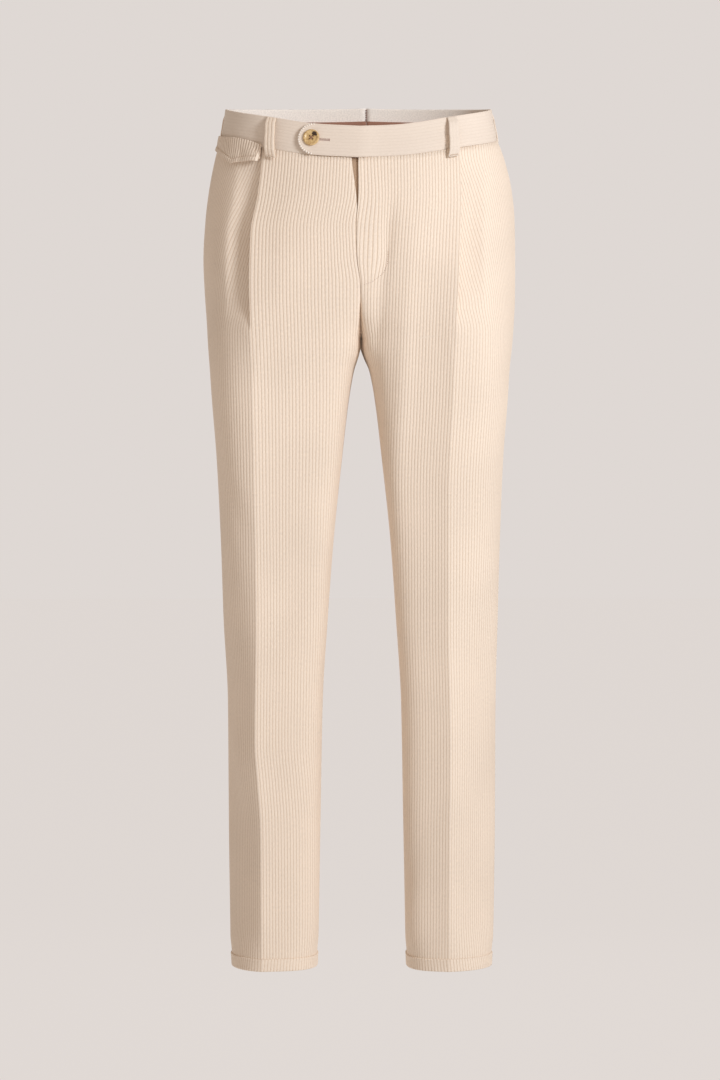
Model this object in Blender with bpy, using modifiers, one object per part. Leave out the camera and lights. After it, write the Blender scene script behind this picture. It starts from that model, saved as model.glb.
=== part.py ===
"""Corduroy trousers, filled out as if worn, with nobody in them: two fronts with a reverse pleat, two backs, a two-part
waistband with a buttoned tab, six belt loops, a fly, a coin pocket flap and narrow turn-ups.

The wearer's front faces -Y, the wearer's left is +X and +Z is up. The origin is the middle of the waist, level with the
waistband at the side seams. Tables and sizes are in millimetres. Every piece of cloth is a wall of rings worked out from
one form: a level's ring goes from the centre front round the side to the centre back, and along it `across` is the
distance from the crease, which is also the way that the cloth's cords count."""

import math
from functools import cache

import bmesh
import bpy
import numpy as np
from mathutils import Matrix, Vector

MM = 0.001

# Driving dimensions
INSEAM = 761.5
CROTCH_DROP = 269.5
HEM_LEVEL = -(CROTCH_DROP + INSEAM)
CLOTH = 1.4
SEAM_GAP = 0.3
BAND_HEIGHT = 38.0
BAND_THICKNESS = 3.0
BAND_PROUD = 1.5

RIGHT, LEFT = -1, 1
SIDE_NAMES = {RIGHT: "right", LEFT: "left"}


def table(columns, *rows):
    """A short table as a dict of arrays, one for each named column."""
    return {name: np.array(values, float) for name, values in zip(columns.split(), zip(*rows))}


# How far the outer edge of the form lies from the middle.
OUTLINE = table(
    "z right left",
    (60, 161.5, 157.5),
    (18, 164.2, 160.5),
    (-19, 170.6, 168.0),
    (-31, 174.8, 173.2),
    (-43, 178.0, 177.3),
    (-80, 185.3, 186.3),
    (-116, 189.8, 190.0),
    (-165, 192.5, 190.8),
    (-215, 190.3, 190.5),
    (-240, 188.4, 189.2),
    (-270, 186.5, 186.9),
    (-301, 184.0, 183.4),
    (-338, 181.3, 181.0),
    (-412, 175.3, 175.3),
    (-510, 170.4, 171.4),
    (-608, 167.3, 168.9),
    (-707, 162.4, 166.8),
    (-854, 161.5, 166.2),
    (-950, 160.1, 164.9),
    (HEM_LEVEL + 24, 158.5, 162.4),
    (HEM_LEVEL + 15, 157.0, 160.3),
    (HEM_LEVEL, 156.2, 159.6),
)

# How far the inner side of each leg lies from the middle, under the crotch.
INNER_LEG = table(
    "z right left",
    (60, SEAM_GAP / 2, SEAM_GAP / 2),
    (-CROTCH_DROP, SEAM_GAP / 2, SEAM_GAP / 2),
    (-285, 2.4, 4.4),
    (-301, 7.4, 11.4),
    (-338, 13.9, 18.4),
    (-412, 22.5, 27.2),
    (-510, 32.5, 37.5),
    (-608, 39.8, 44.4),
    (-707, 45.9, 50.6),
    (-854, 48.7, 53.3),
    (-950, 50.3, 55.1),
    (HEM_LEVEL + 24, 52.0, 56.9),
    (HEM_LEVEL + 15, 53.5, 58.2),
    (HEM_LEVEL, 53.9, 58.6),
)

# The pleat's folded edge and the front crease that runs on from it, from the middle.
CREASE = table(
    "z right left",
    (60, 112.0, 114.0),
    (-43, 116.8, 119.3),
    (-98, 122.3, 120.5),
    (-141, 129.5, 118.8),
    (-215, 131.2, 116.4),
    (-338, 128.3, 111.7),
    (-461, 126.4, 106.6),
    (-608, 124.6, 106.7),
    (-756, 126.0, 109.4),
    (-805, 122.4, 109.4),
    (-854, 119.4, 108.6),
    (HEM_LEVEL, 118.2, 107.6),
)

# The form from the side: y of its front and of its back.
DEPTH = table(
    "z front back",
    (60, -96, 99),
    (18, -101, 103),
    (-19, -104, 107),
    (-43, -108, 112),
    (-116, -113, 124),
    (-190, -114, 130),
    (-240, -110, 126),
    (-270, -106, 118),
    (-338, -100, 104),
    (-412, -94, 95),
    (-510, -86, 83),
    (-608, -78, 76),
    (-707, -71, 79),
    (-805, -67, 80),
    (-904, -65, 76),
    (HEM_LEVEL, -66, 70),
)

# How one hip ring turns into two leg rings: spread moves the ring's front and back points from the centre line to the
# middle of the leg, turn moves the front point on to the crease, join is how much of the leg's inner half the centre
# seams cut away (1 where it is whole), corner and side are how square the leg's front is inside and outside its crease,
# and inner and outer are how far it falls straight back from the crease to each side, as a share of its depth.
PARTING = table(
    "z spread turn join corner inner side outer",
    (60, 0.0, 0.0, 0.02, 2.3, 0.0, 2.3, 0.0),
    (-80, 0.0, 0.0, 0.02, 2.3, 0.0, 2.3, 0.0),
    (-120, 0.22, 0.0, 0.06, 2.5, 0.0, 2.3, 0.0),
    (-160, 0.60, 0.0, 0.20, 2.9, 0.0, 2.3, 0.0),
    (-190, 0.84, 0.0, 0.38, 3.3, 0.0, 2.3, 0.0),
    (-223, 0.96, 0.0, 0.62, 3.8, 0.0, 2.3, 0.0),
    (-240, 0.99, 0.22, 0.78, 4.0, 0.02, 2.4, 0.02),
    (-255, 1.0, 0.42, 0.925, 4.2, 0.04, 2.5, 0.04),
    (-CROTCH_DROP, 1.0, 0.60, 1.0, 4.4, 0.06, 2.6, 0.05),
    (-338, 1.0, 1.0, 1.0, 4.8, 0.14, 2.9, 0.09),
    (-461, 1.0, 1.0, 1.0, 5.0, 0.16, 2.9, 0.12),
    (-608, 1.0, 1.0, 1.0, 5.0, 0.20, 2.5, 0.30),
    (-707, 1.0, 1.0, 1.0, 5.0, 0.22, 2.1, 0.38),
    (-854, 1.0, 1.0, 1.0, 5.0, 0.22, 1.9, 0.42),
    (HEM_LEVEL, 1.0, 1.0, 1.0, 5.0, 0.22, 1.9, 0.40),
)
OUTER_ROUND = 2.3
BACK_INNER_ROUND = 2.5
LOWER_LEG_ROUND = 2.05

# Height of the waistband's top edge, by how much of the way round from centre front to centre back it is.
WAIST_LINE = table("share height", (0, -16), (0.10, -13.5), (0.26, -1), (0.39, 10.5), (0.5, 20), (0.75, 32), (1, 36))

# The reverse pleat, by level: how deep its fold goes under, how far its folded edge stands out, and how far the cloth
# outside it sinks in.
PLEAT = table(
    "z depth lift sink",
    (60, 30, 1.9, 1.9),
    (-43, 30, 1.9, 1.9),
    (-90, 23, 3.0, 4.5),
    (-150, 13, 5.0, 7.0),
    (-200, 6, 5.5, 5.5),
    (-226, 3, 4.7, 3.0),
    (-262, 3, 3.5, 0.0),
    (-330, 3, 1.7, 0.0),
    (-510, 3, 1.0, 0.0),
    (-707, 3, 1.4, 0.0),
    (HEM_LEVEL, 3, 1.6, 0.0),
)
PLEAT_END = -226
PLEAT_FADE = 36
PITCH = CLOTH + 0.5
RIDGE_INSIDE = 30
RIDGE_OUTSIDE = 26
SINK_REACH = 34

# The crease down the back of each leg.
BACK_CREASE = table("z height", (60, 0), (-270, 0), (-380, 3.0), (-608, 5.0), (HEM_LEVEL, 5.5))

# The largest soft folds, as troughs (minus) and ridges (plus): which side and panel, how far across from the crease and
# at what height the middle lies, half its width and length, its depth, and how much it leans.
FOLDS = (
    # side, panel, across, z, half_width, half_length, depth, lean
    (RIGHT, "front", 44, -165, 22, 85, 3.0, -0.08),
    (RIGHT, "front", 30, -470, 20, 45, -3.0, 0.35),
    (RIGHT, "front", 28, -790, 20, 50, 3.5, 0.20),
    (RIGHT, "front", -40, -590, 24, 45, -2.5, -0.40),
    (LEFT, "front", -62, -330, 13, 170, 3.0, 0.02),
    (LEFT, "front", -97, -250, 14, 120, -4.0, 0.03),
    (LEFT, "front", 34, -300, 30, 90, 2.5, 0.00),
    (LEFT, "front", -58, -925, 16, 40, -2.0, 0.30),
    (RIGHT, "back", 20, -235, 60, 24, -4.0, 0.10),
    (LEFT, "back", 24, -240, 55, 26, -4.0, -0.08),
    (RIGHT, "back", -18, -560, 45, 20, -3.5, 0.25),
    (LEFT, "back", 10, -585, 42, 22, -3.0, -0.20),
    (LEFT, "back", -25, -820, 30, 40, 2.5, 0.15),
)

# Levels of the rings. Above LEVEL_TOP they follow the waistband's slope.
LEVEL_TOP = -165
SLOPING_SHARES = (0.0, 0.07, 0.16, 0.30, 0.46, 0.64, 0.82)
LEVELS = (-165, -190, -208, -224, -240, -255, -264, -CROTCH_DROP, -285, -301, -338, -395, -461, -535, -608, -680,
          -756, -830, -904, -970, HEM_LEVEL + 15, HEM_LEVEL)


def smooth(table_, column, at):
    """The column read at any height: a cubic through the table's rows that never overshoots them."""
    keys = table_["z"] if "z" in table_ else table_["share"]
    order = np.argsort(keys)
    x, y = keys[order], table_[column][order]
    step, slope = np.diff(x), np.diff(y) / np.diff(x)
    same_way = slope[:-1] * slope[1:] > 0
    total = np.where(same_way, slope[:-1] + slope[1:], 1.0)
    tangent = np.concatenate([slope[:1], np.where(same_way, 2 * slope[:-1] * slope[1:] / total, 0.0), slope[-1:]])
    at = np.clip(at, x[0], x[-1])
    i = np.clip(np.searchsorted(x, at, side="right") - 1, 0, len(x) - 2)
    t = (at - x[i]) / step[i]
    return (
        (2 * t**3 - 3 * t**2 + 1) * y[i]
        + (t**3 - 2 * t**2 + t) * step[i] * tangent[i]
        + (3 * t**2 - 2 * t**3) * y[i + 1]
        + (t**3 - t**2) * step[i] * tangent[i + 1]
    )


def ease(low, high, value):
    """0 below low, 1 above high, and a smooth step between."""
    t = np.clip((value - low) / (high - low), 0, 1)
    return t * t * (3 - 2 * t)


# The form's rings

QUARTER_POINTS = 72


def power(value, exponent):
    return np.abs(value) ** exponent


def half_ring(side, z):
    """The ring of one half at a level: its x and y, and the distance along it of each point, of the front crease, the
    side seam and the back crease."""
    name = SIDE_NAMES[side]
    outer, inner = smooth(OUTLINE, name, z), smooth(INNER_LEG, name, z)
    front, back = smooth(DEPTH, "front", z), smooth(DEPTH, "back", z)
    spread, turn, join = (smooth(PARTING, column, z) for column in ("spread", "turn", "join"))
    corner, inner_fall = smooth(PARTING, "corner", z), smooth(PARTING, "inner", z)
    side_round, outer_fall = smooth(PARTING, "side", z), smooth(PARTING, "outer", z)
    crease = smooth(CREASE, name, z)
    middle = max(spread * (outer + inner) / 2, inner + 1)
    foremost = middle + (crease - middle) * turn
    depth_centre = (front + back) / 2
    outer_round = LOWER_LEG_ROUND + (OUTER_ROUND - LOWER_LEG_ROUND) * ease(-600, -300, z)
    back_round = LOWER_LEG_ROUND + (BACK_INNER_ROUND - LOWER_LEG_ROUND) * ease(-600, -300, z)
    parts = []
    for exponent, fall, begin, end, inwards, peak, y_reach in (
        (corner, inner_fall, -math.asin(join ** (corner / 2)), 0.0, True, foremost, front - depth_centre),
        (side_round, outer_fall, 0.0, math.pi / 2, False, foremost, front - depth_centre),
        (outer_round, 0.0, math.pi / 2, math.pi, False, middle, back - depth_centre),
        (back_round, 0.0, math.pi, math.pi + math.asin(join ** (back_round / 2)), True, middle, back - depth_centre),
    ):
        angle = np.linspace(begin, end, QUARTER_POINTS + 1)
        sideways = power(np.sin(angle), 2 / exponent)
        onwards = power(np.cos(angle), 2 / exponent) * (1 - fall * sideways)
        reach = -(peak - inner) / join if inwards else outer - peak
        parts.append(np.stack([peak + reach * sideways, depth_centre + y_reach * onwards]))
    ring = np.concatenate([parts[0]] + [p[:, 1:] for p in parts[1:]], axis=1)
    along = np.concatenate([[0], np.cumsum(np.hypot(*np.diff(ring, axis=1)))])
    quarter = 2 * QUARTER_POINTS
    front_crease = np.interp(crease, ring[0, : quarter + 1], along[: quarter + 1])
    back_x = middle - 0.5 * (crease - middle) if z < -CROTCH_DROP else 0.42 * outer
    back_x = middle - 0.5 * (crease - middle) + (0.42 * outer - middle + 0.5 * (crease - middle)) * ease(-420, -200, z)
    back_crease = np.interp(-back_x, -ring[0, quarter:], along[quarter:])
    return ring * np.array([[side], [1]]), along, front_crease, along[quarter], back_crease


RING_STEP = 3.0
RING_LEVELS = np.arange(60, HEM_LEVEL - RING_STEP, -RING_STEP)
FORM = {side: [half_ring(side, z) for z in RING_LEVELS] for side in (RIGHT, LEFT)}


def ring_value(side, item, z):
    """front crease (2), side seam (3), back crease (4) or whole length (1) of the ring at each height in z."""
    at_levels = [ring[item][-1] if item == 1 else ring[item] for ring in FORM[side]]
    return np.interp(-np.asarray(z, float), -RING_LEVELS, at_levels)


def base_point(side, along, z):
    """The form's point at a distance along the ring of a height, and the direction that points out of it there."""
    level_at = (RING_LEVELS[0] - z) / RING_STEP
    i = int(np.clip(math.floor(level_at), 0, len(RING_LEVELS) - 2))
    share = level_at - i
    across = along - ring_value(side, 2, z)
    found, out = np.zeros(2), np.zeros(2)
    for level, weight in ((i, 1 - share), (i + 1, share)):
        ring, lengths, crease = FORM[side][level][:3]
        at = np.clip(crease + across, 0, lengths[-1])
        here = np.array([np.interp(at, lengths, ring[0]), np.interp(at, lengths, ring[1])])
        ends = [np.clip(at + d, 0, lengths[-1]) for d in (-2.0, 2.0)]
        chord = [np.interp(ends[1], lengths, ring[k]) - np.interp(ends[0], lengths, ring[k]) for k in (0, 1)]
        found += weight * here
        out += weight * np.array([chord[1], -chord[0]]) / math.hypot(*chord) * side
    return found, out / np.linalg.norm(out)


def place(side, along, z, lift):
    """A point of the cloth: on the form, moved out by lift, and kept on its own side of the middle."""
    found, out = base_point(side, along, z)
    x, y = found + out * lift
    return np.array([side * max(side * x, SEAM_GAP / 2), y, z])


# The cloth's own relief

def fold_lift(side, panel, across, z):
    """What the soft folds add at a point of a panel."""
    total = 0.0
    for fold_side, fold_panel, at, height, half_width, half_length, depth, lean in FOLDS:
        if fold_side == side and fold_panel == panel:
            sideways = (across - at - lean * (z - height)) / half_width
            total += depth * math.exp(-(sideways**2) - ((z - height) / half_length) ** 2)
    return total


def edge_fade(side, along, z):
    """Nothing is added at the centre seams, where the two halves meet."""
    return float(ease(2, 30, min(along, ring_value(side, 1, z) - along)))


def front_lift(side, across, z):
    """How far the front's outer face stands out from the form, apart from the pleat's own fold."""
    reach = RIDGE_INSIDE if across < 0 else RIDGE_OUTSIDE
    share = max(0.0, 1 - abs(across) / reach)
    lift = smooth(PLEAT, "lift", z)
    if across <= 0:
        height = lift * share**2
    else:
        opened = float(ease(0, 1, (PLEAT_END - z) / PLEAT_FADE))
        sunk = max(0.0, 1 - across / SINK_REACH)
        height = opened * lift * share**2 - smooth(PLEAT, "sink", z) * sunk * (1 + across / 12) / 1.2
    along = ring_value(side, 2, z) + across
    return height + fold_lift(side, "front", across, z) * edge_fade(side, along, z)


def back_lift(side, across, z):
    """How far the back's outer face stands out from the form."""
    share = max(0.0, 1 - abs(across) / RIDGE_INSIDE)
    along = ring_value(side, 4, z) + across
    height = smooth(BACK_CREASE, "height", z) * share**2
    return height + fold_lift(side, "back", across, z) * edge_fade(side, along, z)


# Walls

def offset_path(path, thickness):
    """The outer and inner line of a wall whose middle line is path, in (across, lift)."""
    steps = np.diff(path, axis=0)
    steps /= np.linalg.norm(steps, axis=1)[:, None]
    normals = np.stack([-steps[:, 1], steps[:, 0]], axis=1)
    at_points = np.concatenate([normals[:1], normals[:-1] + normals[1:], normals[-1:]])
    at_points /= np.linalg.norm(at_points, axis=1)[:, None]
    stretch = np.concatenate([[1.0], 1 / np.clip((at_points[1:-1] * normals[1:]).sum(1), 0.7, 1), [1.0]])
    push = at_points * (thickness / 2 * stretch)[:, None]
    return path + push, path - push


def new_object(name, vertices, faces, colour, roughness=0.9, metallic=0.0):
    """A named object from points in millimetres and faces, with its own material."""
    mesh = bpy.data.meshes.new(name)
    mesh.from_pydata([tuple(c * MM for c in v) for v in vertices], [], faces)
    mesh.validate()
    part = bpy.data.objects.new(name, mesh)
    PIECES.objects.link(part)
    finish(part, colour, roughness, metallic)
    return part


def finish(part, colour, roughness, metallic):
    """Recalculates the normals outwards, shades round pieces smooth and gives the part its material."""
    build = bmesh.new()
    build.from_mesh(part.data)
    bmesh.ops.recalc_face_normals(build, faces=build.faces)
    build.to_mesh(part.data)
    build.free()
    part.data.shade_smooth()
    part.data.set_sharp_from_angle(angle=math.radians(40))
    material = bpy.data.materials.new(part.name)
    material.use_nodes = True
    shader = material.node_tree.nodes["Principled BSDF"]
    shader.inputs["Base Color"].default_value = (*colour, 1)
    shader.inputs["Roughness"].default_value = roughness
    shader.inputs["Metallic"].default_value = metallic
    part.data.materials.append(material)


def wall(name, outer, inner, colour, closed=False):
    """A closed wall between two grids of points, outer[row][column] and inner[row][column]. A closed wall is a ring:
    its last column meets its first."""
    rows, columns = len(outer), len(outer[0])
    vertices = [p for grid in (outer, inner) for row in grid for p in row]
    second = rows * columns
    faces = []
    for c in range(columns if closed else columns - 1):
        d = (c + 1) % columns
        for r in range(rows - 1):
            a, b = r * columns, (r + 1) * columns
            faces.append((a + c, a + d, b + d, b + c))
            faces.append((second + a + c, second + b + c, second + b + d, second + a + d))
        last = (rows - 1) * columns
        faces.append((c, second + c, second + d, d))
        faces.append((last + c, last + d, second + last + d, second + last + c))
    if not closed:
        for r in range(rows - 1):
            a, b = r * columns, (r + 1) * columns
            faces.append((a, b, second + b, second + a))
            end_a, end_b = a + columns - 1, b + columns - 1
            faces.append((end_a, second + end_a, second + end_b, end_b))
    return new_object(name, vertices, faces, colour)


# Waist line and ring levels

WAIST_HALF = {side: float(ring_value(side, 1, -BAND_HEIGHT / 2)) for side in (RIGHT, LEFT)}


def waist_height(share):
    return float(smooth(WAIST_LINE, "height", share))


def column_heights(side, along_at):
    """The heights of one column's points, from the waist seam down to the hem. along_at gives how far along the ring
    the column lies at any height."""
    top = -30.0
    for _ in range(4):
        top = waist_height(along_at(top) / ring_value(side, 1, top)) - BAND_HEIGHT - SEAM_GAP
    return [top + (LEVEL_TOP - top) * share for share in SLOPING_SHARES] + list(LEVELS)


# Fronts

CREAM = (0.80, 0.66, 0.51)
FLY_GAP = 10.0
FLY_END = -130
FRONT_INNER_SHARES = (0.0, 0.06, 0.16, 0.30, 0.45, 0.60, 0.75, 0.89, 1.0)
FRONT_OUTER_SHARES = (0.12, 0.28, 0.46, 0.64, 0.82, 1.0)
NEAR_CREASE = 9.0


@cache
def pleat_path(side, z):
    """The middle line of the pleat at a level, in (across, lift): folded under the folded edge high up, and rolled out
    into a plain crease further down."""
    depth, half = smooth(PLEAT, "depth", z), PITCH / 2
    top, far = (front_lift(side, a, z) - CLOTH / 2 for a in (0, -depth))
    low = min(front_lift(side, 0.01, z) - CLOTH / 2, top - 2 * PITCH)
    folded = np.array([
        (-3.2, front_lift(side, -3.2, z) - CLOTH / 2),
        (-half, top),
        (0.0, top - half),
        (-half, top - PITCH),
        (half - depth, far - PITCH),
        (-depth, far - PITCH - half),
        (half - depth, far - 2 * PITCH),
        (-1.5, low),
        (4.0, front_lift(side, 4.0, z) - CLOTH / 2),
    ])
    flat_across = np.array([-4.2, -1.4, 0.0, 1.0, 2.0, 3.0, 4.2, 5.6, 7.2])
    flat = np.stack([flat_across, [front_lift(side, a, z) - CLOTH / 2 for a in flat_across]], axis=1)
    rolled_out = float(ease(0, 1, (PLEAT_END - z) / PLEAT_FADE))
    return folded + (flat - folded) * rolled_out


FRONT_COLUMNS = (
    [("inner", share) for share in FRONT_INNER_SHARES]
    + [("pleat", point) for point in range(9)]
    + [("outer", share) for share in FRONT_OUTER_SHARES]
)


def front_point(side, column, z):
    """Where a column of the front lies at a height, in (across, lift), on the middle of the cloth."""
    part, share = column
    if part == "pleat":
        return tuple(pleat_path(side, z)[share])
    gap = SEAM_GAP / 2
    if part == "inner":
        start = gap / 2 if z > -CROTCH_DROP else gap
        if side == RIGHT and z > FLY_END:
            start += FLY_GAP * min(1.0, (z - FLY_END) / (-54 - FLY_END)) ** 2
        across = (start - ring_value(side, 2, z)) * (1 - share) - NEAR_CREASE * share
    else:
        end = ring_value(side, 3, z) - ring_value(side, 2, z) - gap
        across = (NEAR_CREASE + 1) * (1 - share) + end * share
    return float(across), front_lift(side, float(across), z) - CLOTH / 2


def front_grid(side):
    """The front's outer and inner points, row by row from the waist seam to the hem, each row from the fly or inseam
    to the side seam."""
    columns = [
        column_heights(side, lambda z, c=column: ring_value(side, 2, z) + front_point(side, c, z)[0])
        for column in FRONT_COLUMNS
    ]
    outer, inner = [], []
    for heights in zip(*columns):
        path = np.array([front_point(side, c, z) for c, z in zip(FRONT_COLUMNS, heights)])
        for line, grid in zip(offset_path(path, CLOTH), (outer, inner)):
            grid.append([place(side, ring_value(side, 2, z) + a, z, lift) for (a, lift), z in zip(line, heights)])
    return outer, inner


# Backs

BACK_COLUMNS = 17


def back_across(side, share, z):
    """How far across from the back crease a column lies at a height."""
    gap = SEAM_GAP / 2
    crease = ring_value(side, 4, z)
    start = ring_value(side, 3, z) + gap - crease
    end = ring_value(side, 1, z) - crease - (gap if z < -CROTCH_DROP else gap / 2)
    return float(start + (end - start) * lean_to(share, float(-start / (end - start))))


def back_grid(side):
    """The back's outer and inner points, from the side seam to the centre back or inseam."""
    shares = np.linspace(0, 1, BACK_COLUMNS)
    columns = [
        column_heights(side, lambda z, s=share: ring_value(side, 4, z) + back_across(side, s, z)) for share in shares
    ]
    outer, inner = [], []
    for heights in zip(*columns):
        acrosses = [back_across(side, share, z) for share, z in zip(shares, heights)]
        path = np.array([(a, back_lift(side, a, z) - CLOTH / 2) for a, z in zip(acrosses, heights)])
        for line, grid in zip(offset_path(path, CLOTH), (outer, inner)):
            grid.append([place(side, ring_value(side, 4, z) + a, z, lift) for (a, lift), z in zip(line, heights)])
    return outer, inner


def lean_to(share, crease_share):
    """Bends the even shares so that the middle column runs down the crease."""
    if share <= 0.5:
        return share * 2 * crease_share
    return crease_share + (share - 0.5) * 2 * (1 - crease_share)


# Waistband

BAND_STEPS = 26
BAND_ROWS = (0.0, 0.3, 0.7, 1.0)
TAB_REACH = 72.0
TAB_THICKNESS = 2.6
TAB_RISE = 26.0
TAB_END_ANGLES = (0, 20, 40, 58, 72, 83)


def band_point(side, along, down, lift):
    """A point on the waistband, by how far along the waist it lies from the centre front and how far down from the
    top edge."""
    share = along / WAIST_HALF[side]
    z = waist_height(share) - down
    return place(side, share * float(ring_value(side, 1, z)), z, lift)


def band_grids(columns):
    """Outer and inner points of a band from its columns of (side, along, half height, outer lift, inner lift)."""
    outer, inner = [], []
    for row in BAND_ROWS:
        downs = [BAND_HEIGHT / 2 + half * (2 * row - 1) for _, _, half, _, _ in columns]
        outer.append([band_point(s, a, down, lift) for (s, a, _, lift, _), down in zip(columns, downs)])
        inner.append([band_point(s, a, down, lift) for (s, a, _, _, lift), down in zip(columns, downs)])
    return outer, inner


def band_columns(side):
    """The columns of one half of the waistband, from the centre back to the centre front."""
    return [
        (side, share * (WAIST_HALF[side] - SEAM_GAP), BAND_HEIGHT / 2, BAND_PROUD, BAND_PROUD - BAND_THICKNESS)
        for share in np.linspace(1, 0, BAND_STEPS + 1)
    ]


def left_band_columns():
    """The left half runs on past the centre front as a tab with a round end, on top of the right half."""
    over = BAND_PROUD + SEAM_GAP
    columns = []
    for side, along, half, _, _ in band_columns(LEFT):
        risen = float(ease(0, 1, 1 - along / TAB_RISE)) if along < TAB_RISE else 0.0
        columns.append((
            side,
            along,
            half,
            BAND_PROUD + (over + TAB_THICKNESS - BAND_PROUD) * risen,
            BAND_PROUD - BAND_THICKNESS + (over - BAND_PROUD + BAND_THICKNESS) * risen,
        ))
    radius = BAND_HEIGHT / 2
    straight = TAB_REACH - radius
    for share in (0.04, 0.25, 0.5, 0.75):
        columns.append((RIGHT, straight * share, radius, over + TAB_THICKNESS, over))
    for angle in TAB_END_ANGLES:
        turn = math.radians(angle)
        columns.append((
            RIGHT, straight + radius * math.sin(turn), radius * math.cos(turn), over + TAB_THICKNESS, over
        ))
    return columns


# Waist lining, in the back half only

LINING_FROM = 16.5
LINING_TO = 61.8
LINING_THICKNESS = 1.0
LINING_LIFT = BAND_PROUD - BAND_THICKNESS - 1.0
LINING_STEPS = 19
ROSE = (0.40, 0.22, 0.17)


def lining_grids(side):
    alongs = np.linspace(0.52, 1, LINING_STEPS) * (WAIST_HALF[side] - SEAM_GAP)
    downs = (LINING_FROM, BAND_HEIGHT + SEAM_GAP, 48.6, LINING_TO)
    outer = [[band_point(side, a, down, LINING_LIFT) for a in alongs] for down in downs]
    inner = [[band_point(side, a, down, LINING_LIFT - LINING_THICKNESS) for a in alongs] for down in downs]
    return outer, inner


# Fly shield, behind the two fronts

SHIELD_X = (-18, -10, -4, 4, 12, 22)
SHIELD_LEVELS = (-54.8, -75, -98, -120, -145, -170, -200)
SHIELD_LIFT = -(CLOTH + 0.9)


def shield_point(x, z, lift):
    """A point of the shield, x from the centre, which keeps to the fronts' soft folds."""
    side, along = (RIGHT if x < 0 else LEFT), abs(x)
    folds = fold_lift(side, "front", along - ring_value(side, 2, z), z) * edge_fade(side, along, z)
    return place(side, along, z, lift + folds)


def shield_grids():
    outer = [[shield_point(x, z, SHIELD_LIFT) for x in SHIELD_X] for z in SHIELD_LEVELS]
    inner = [[shield_point(x, z, SHIELD_LIFT - CLOTH) for x in SHIELD_X] for z in SHIELD_LEVELS]
    return outer, inner


# Coin pocket flap, made from the front's points, moved out

FLAP_THICKNESS = 1.6
FLAP_GAP = 0.9
FLAP_LIFT_OFF = 1.4
FLAP_ON_BAND = BAND_PROUD + 0.65
# The flap's outline: how far across from the crease, and how far it reaches there above and below the waist seam.
FLAP = table(
    "across rise drop", (1.2, 3.6, 12.5), (3.4, 4.0, 17.4), (14, 6.3, 18.4), (24, 7.4, 20.2), (33.5, 8.0, 22.2),
    (42.5, 8.0, 24.9), (52, 7.6, 21.4), (61.5, 7.2, 18.4), (72, 6.8, 16.0), (82, 6.3, 14.8), (91, 5.8, 14.1),
    (99, 5.3, 13.6), (104, 5.0, 13.2), (107, 4.6, 11.5)
)


def flap_grids():
    outer, inner = [[] for _ in range(4)], [[] for _ in range(4)]
    for across, rise, drop in zip(FLAP["across"], FLAP["rise"], FLAP["drop"]):
        seam = column_heights(RIGHT, lambda z: ring_value(RIGHT, 2, z) + across)[0]
        free = 1 - float(ease(45, 85, across))
        for row, down in enumerate((-rise, 1.2, 0.55 * drop, drop)):
            z = seam - down
            along = float(ring_value(RIGHT, 2, z)) + across
            under = FLAP_ON_BAND
            if row > 1:
                gap = FLAP_GAP * (0.7 + 0.3 * free) + FLAP_LIFT_OFF * free * down / drop
                under = max(front_lift(RIGHT, across, z), -0.4) + gap
            outer[row].append(place(RIGHT, along, z, under + FLAP_THICKNESS))
            inner[row].append(place(RIGHT, along, z, under))
    return outer, inner


# Belt loops

LOOP_WIDTH = 13.0
LOOP_THICKNESS = 1.8
LOOP_LENGTH = 48.0
# Down from the top edge, and how far the loop's inner face stands off the waistband.
LOOP_PATH = ((0.6, 0.35), (3.5, 2.2), (8, 5.4), (15, 6.8), (29, 6.9), (36, 6.0), (42, 3.8), (46.5, 1.7), (48, 1.2))
LOOPS = (
    # side, where, distance, lean
    (RIGHT, "front", 103.3, -0.16),
    (LEFT, "front", 107.5, -0.19),
    (RIGHT, "side", 262.0, 0.0),
    (LEFT, "side", 254.0, 0.0),
    (RIGHT, "back", 45.0, 0.0),
    (LEFT, "back", 45.0, 0.0),
)


def loop_along(side, where, distance):
    """How far along the waist ring a loop's middle lies."""
    rings = FORM[side][int((RING_LEVELS[0] + BAND_HEIGHT / 2) / RING_STEP)]
    ring, along, whole = rings[0] * side, rings[1], rings[1][-1]
    if where == "front":
        quarter = 2 * QUARTER_POINTS
        return float(np.interp(distance, ring[0, :quarter], along[:quarter]))
    return distance if where == "side" else whole - distance


def loop_grids(side, where, distance, lean):
    middle = loop_along(side, where, distance)
    outer, inner = [], []
    for down, stand_off in LOOP_PATH:
        leaning = lean * (down - LOOP_LENGTH / 2)
        alongs = [middle + leaning + LOOP_WIDTH * s for s in (-0.5, 0, 0.5)]
        lift = BAND_PROUD + stand_off + (1.4 if down > BAND_HEIGHT and where == "front" else 0)
        inner.append([band_point(side, a, down, lift) for a in alongs])
        outer.append([band_point(side, a, down, lift + LOOP_THICKNESS) for a in alongs])
    return outer, inner


# Turn-ups at the hems

TURN_UP_THICKNESS = 1.5


def turn_up_grids(side, front, back):
    """A ring made from the last two rows of the leg's outer points, moved out."""
    outer, inner = [], []
    for row in (-2, -1):
        points = [np.array(p) for p in front[row]] + [np.array(p) for p in back[row]]
        centre = sum(points) / len(points)
        ring_out, ring_in = [], []
        for i, point in enumerate(points):
            before, after = points[i - 1], points[(i + 1) % len(points)]
            way = after - before
            out = np.array([way[1], -way[0], 0.0]) * side
            out /= np.linalg.norm(out)
            if np.dot(out, point - centre) < 0:
                out = -out
            ring_in.append(point + out * SEAM_GAP)
            ring_out.append(point + out * (SEAM_GAP + TURN_UP_THICKNESS))
        outer.append(ring_out)
        inner.append(ring_in)
    return outer, inner


# Button

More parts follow.
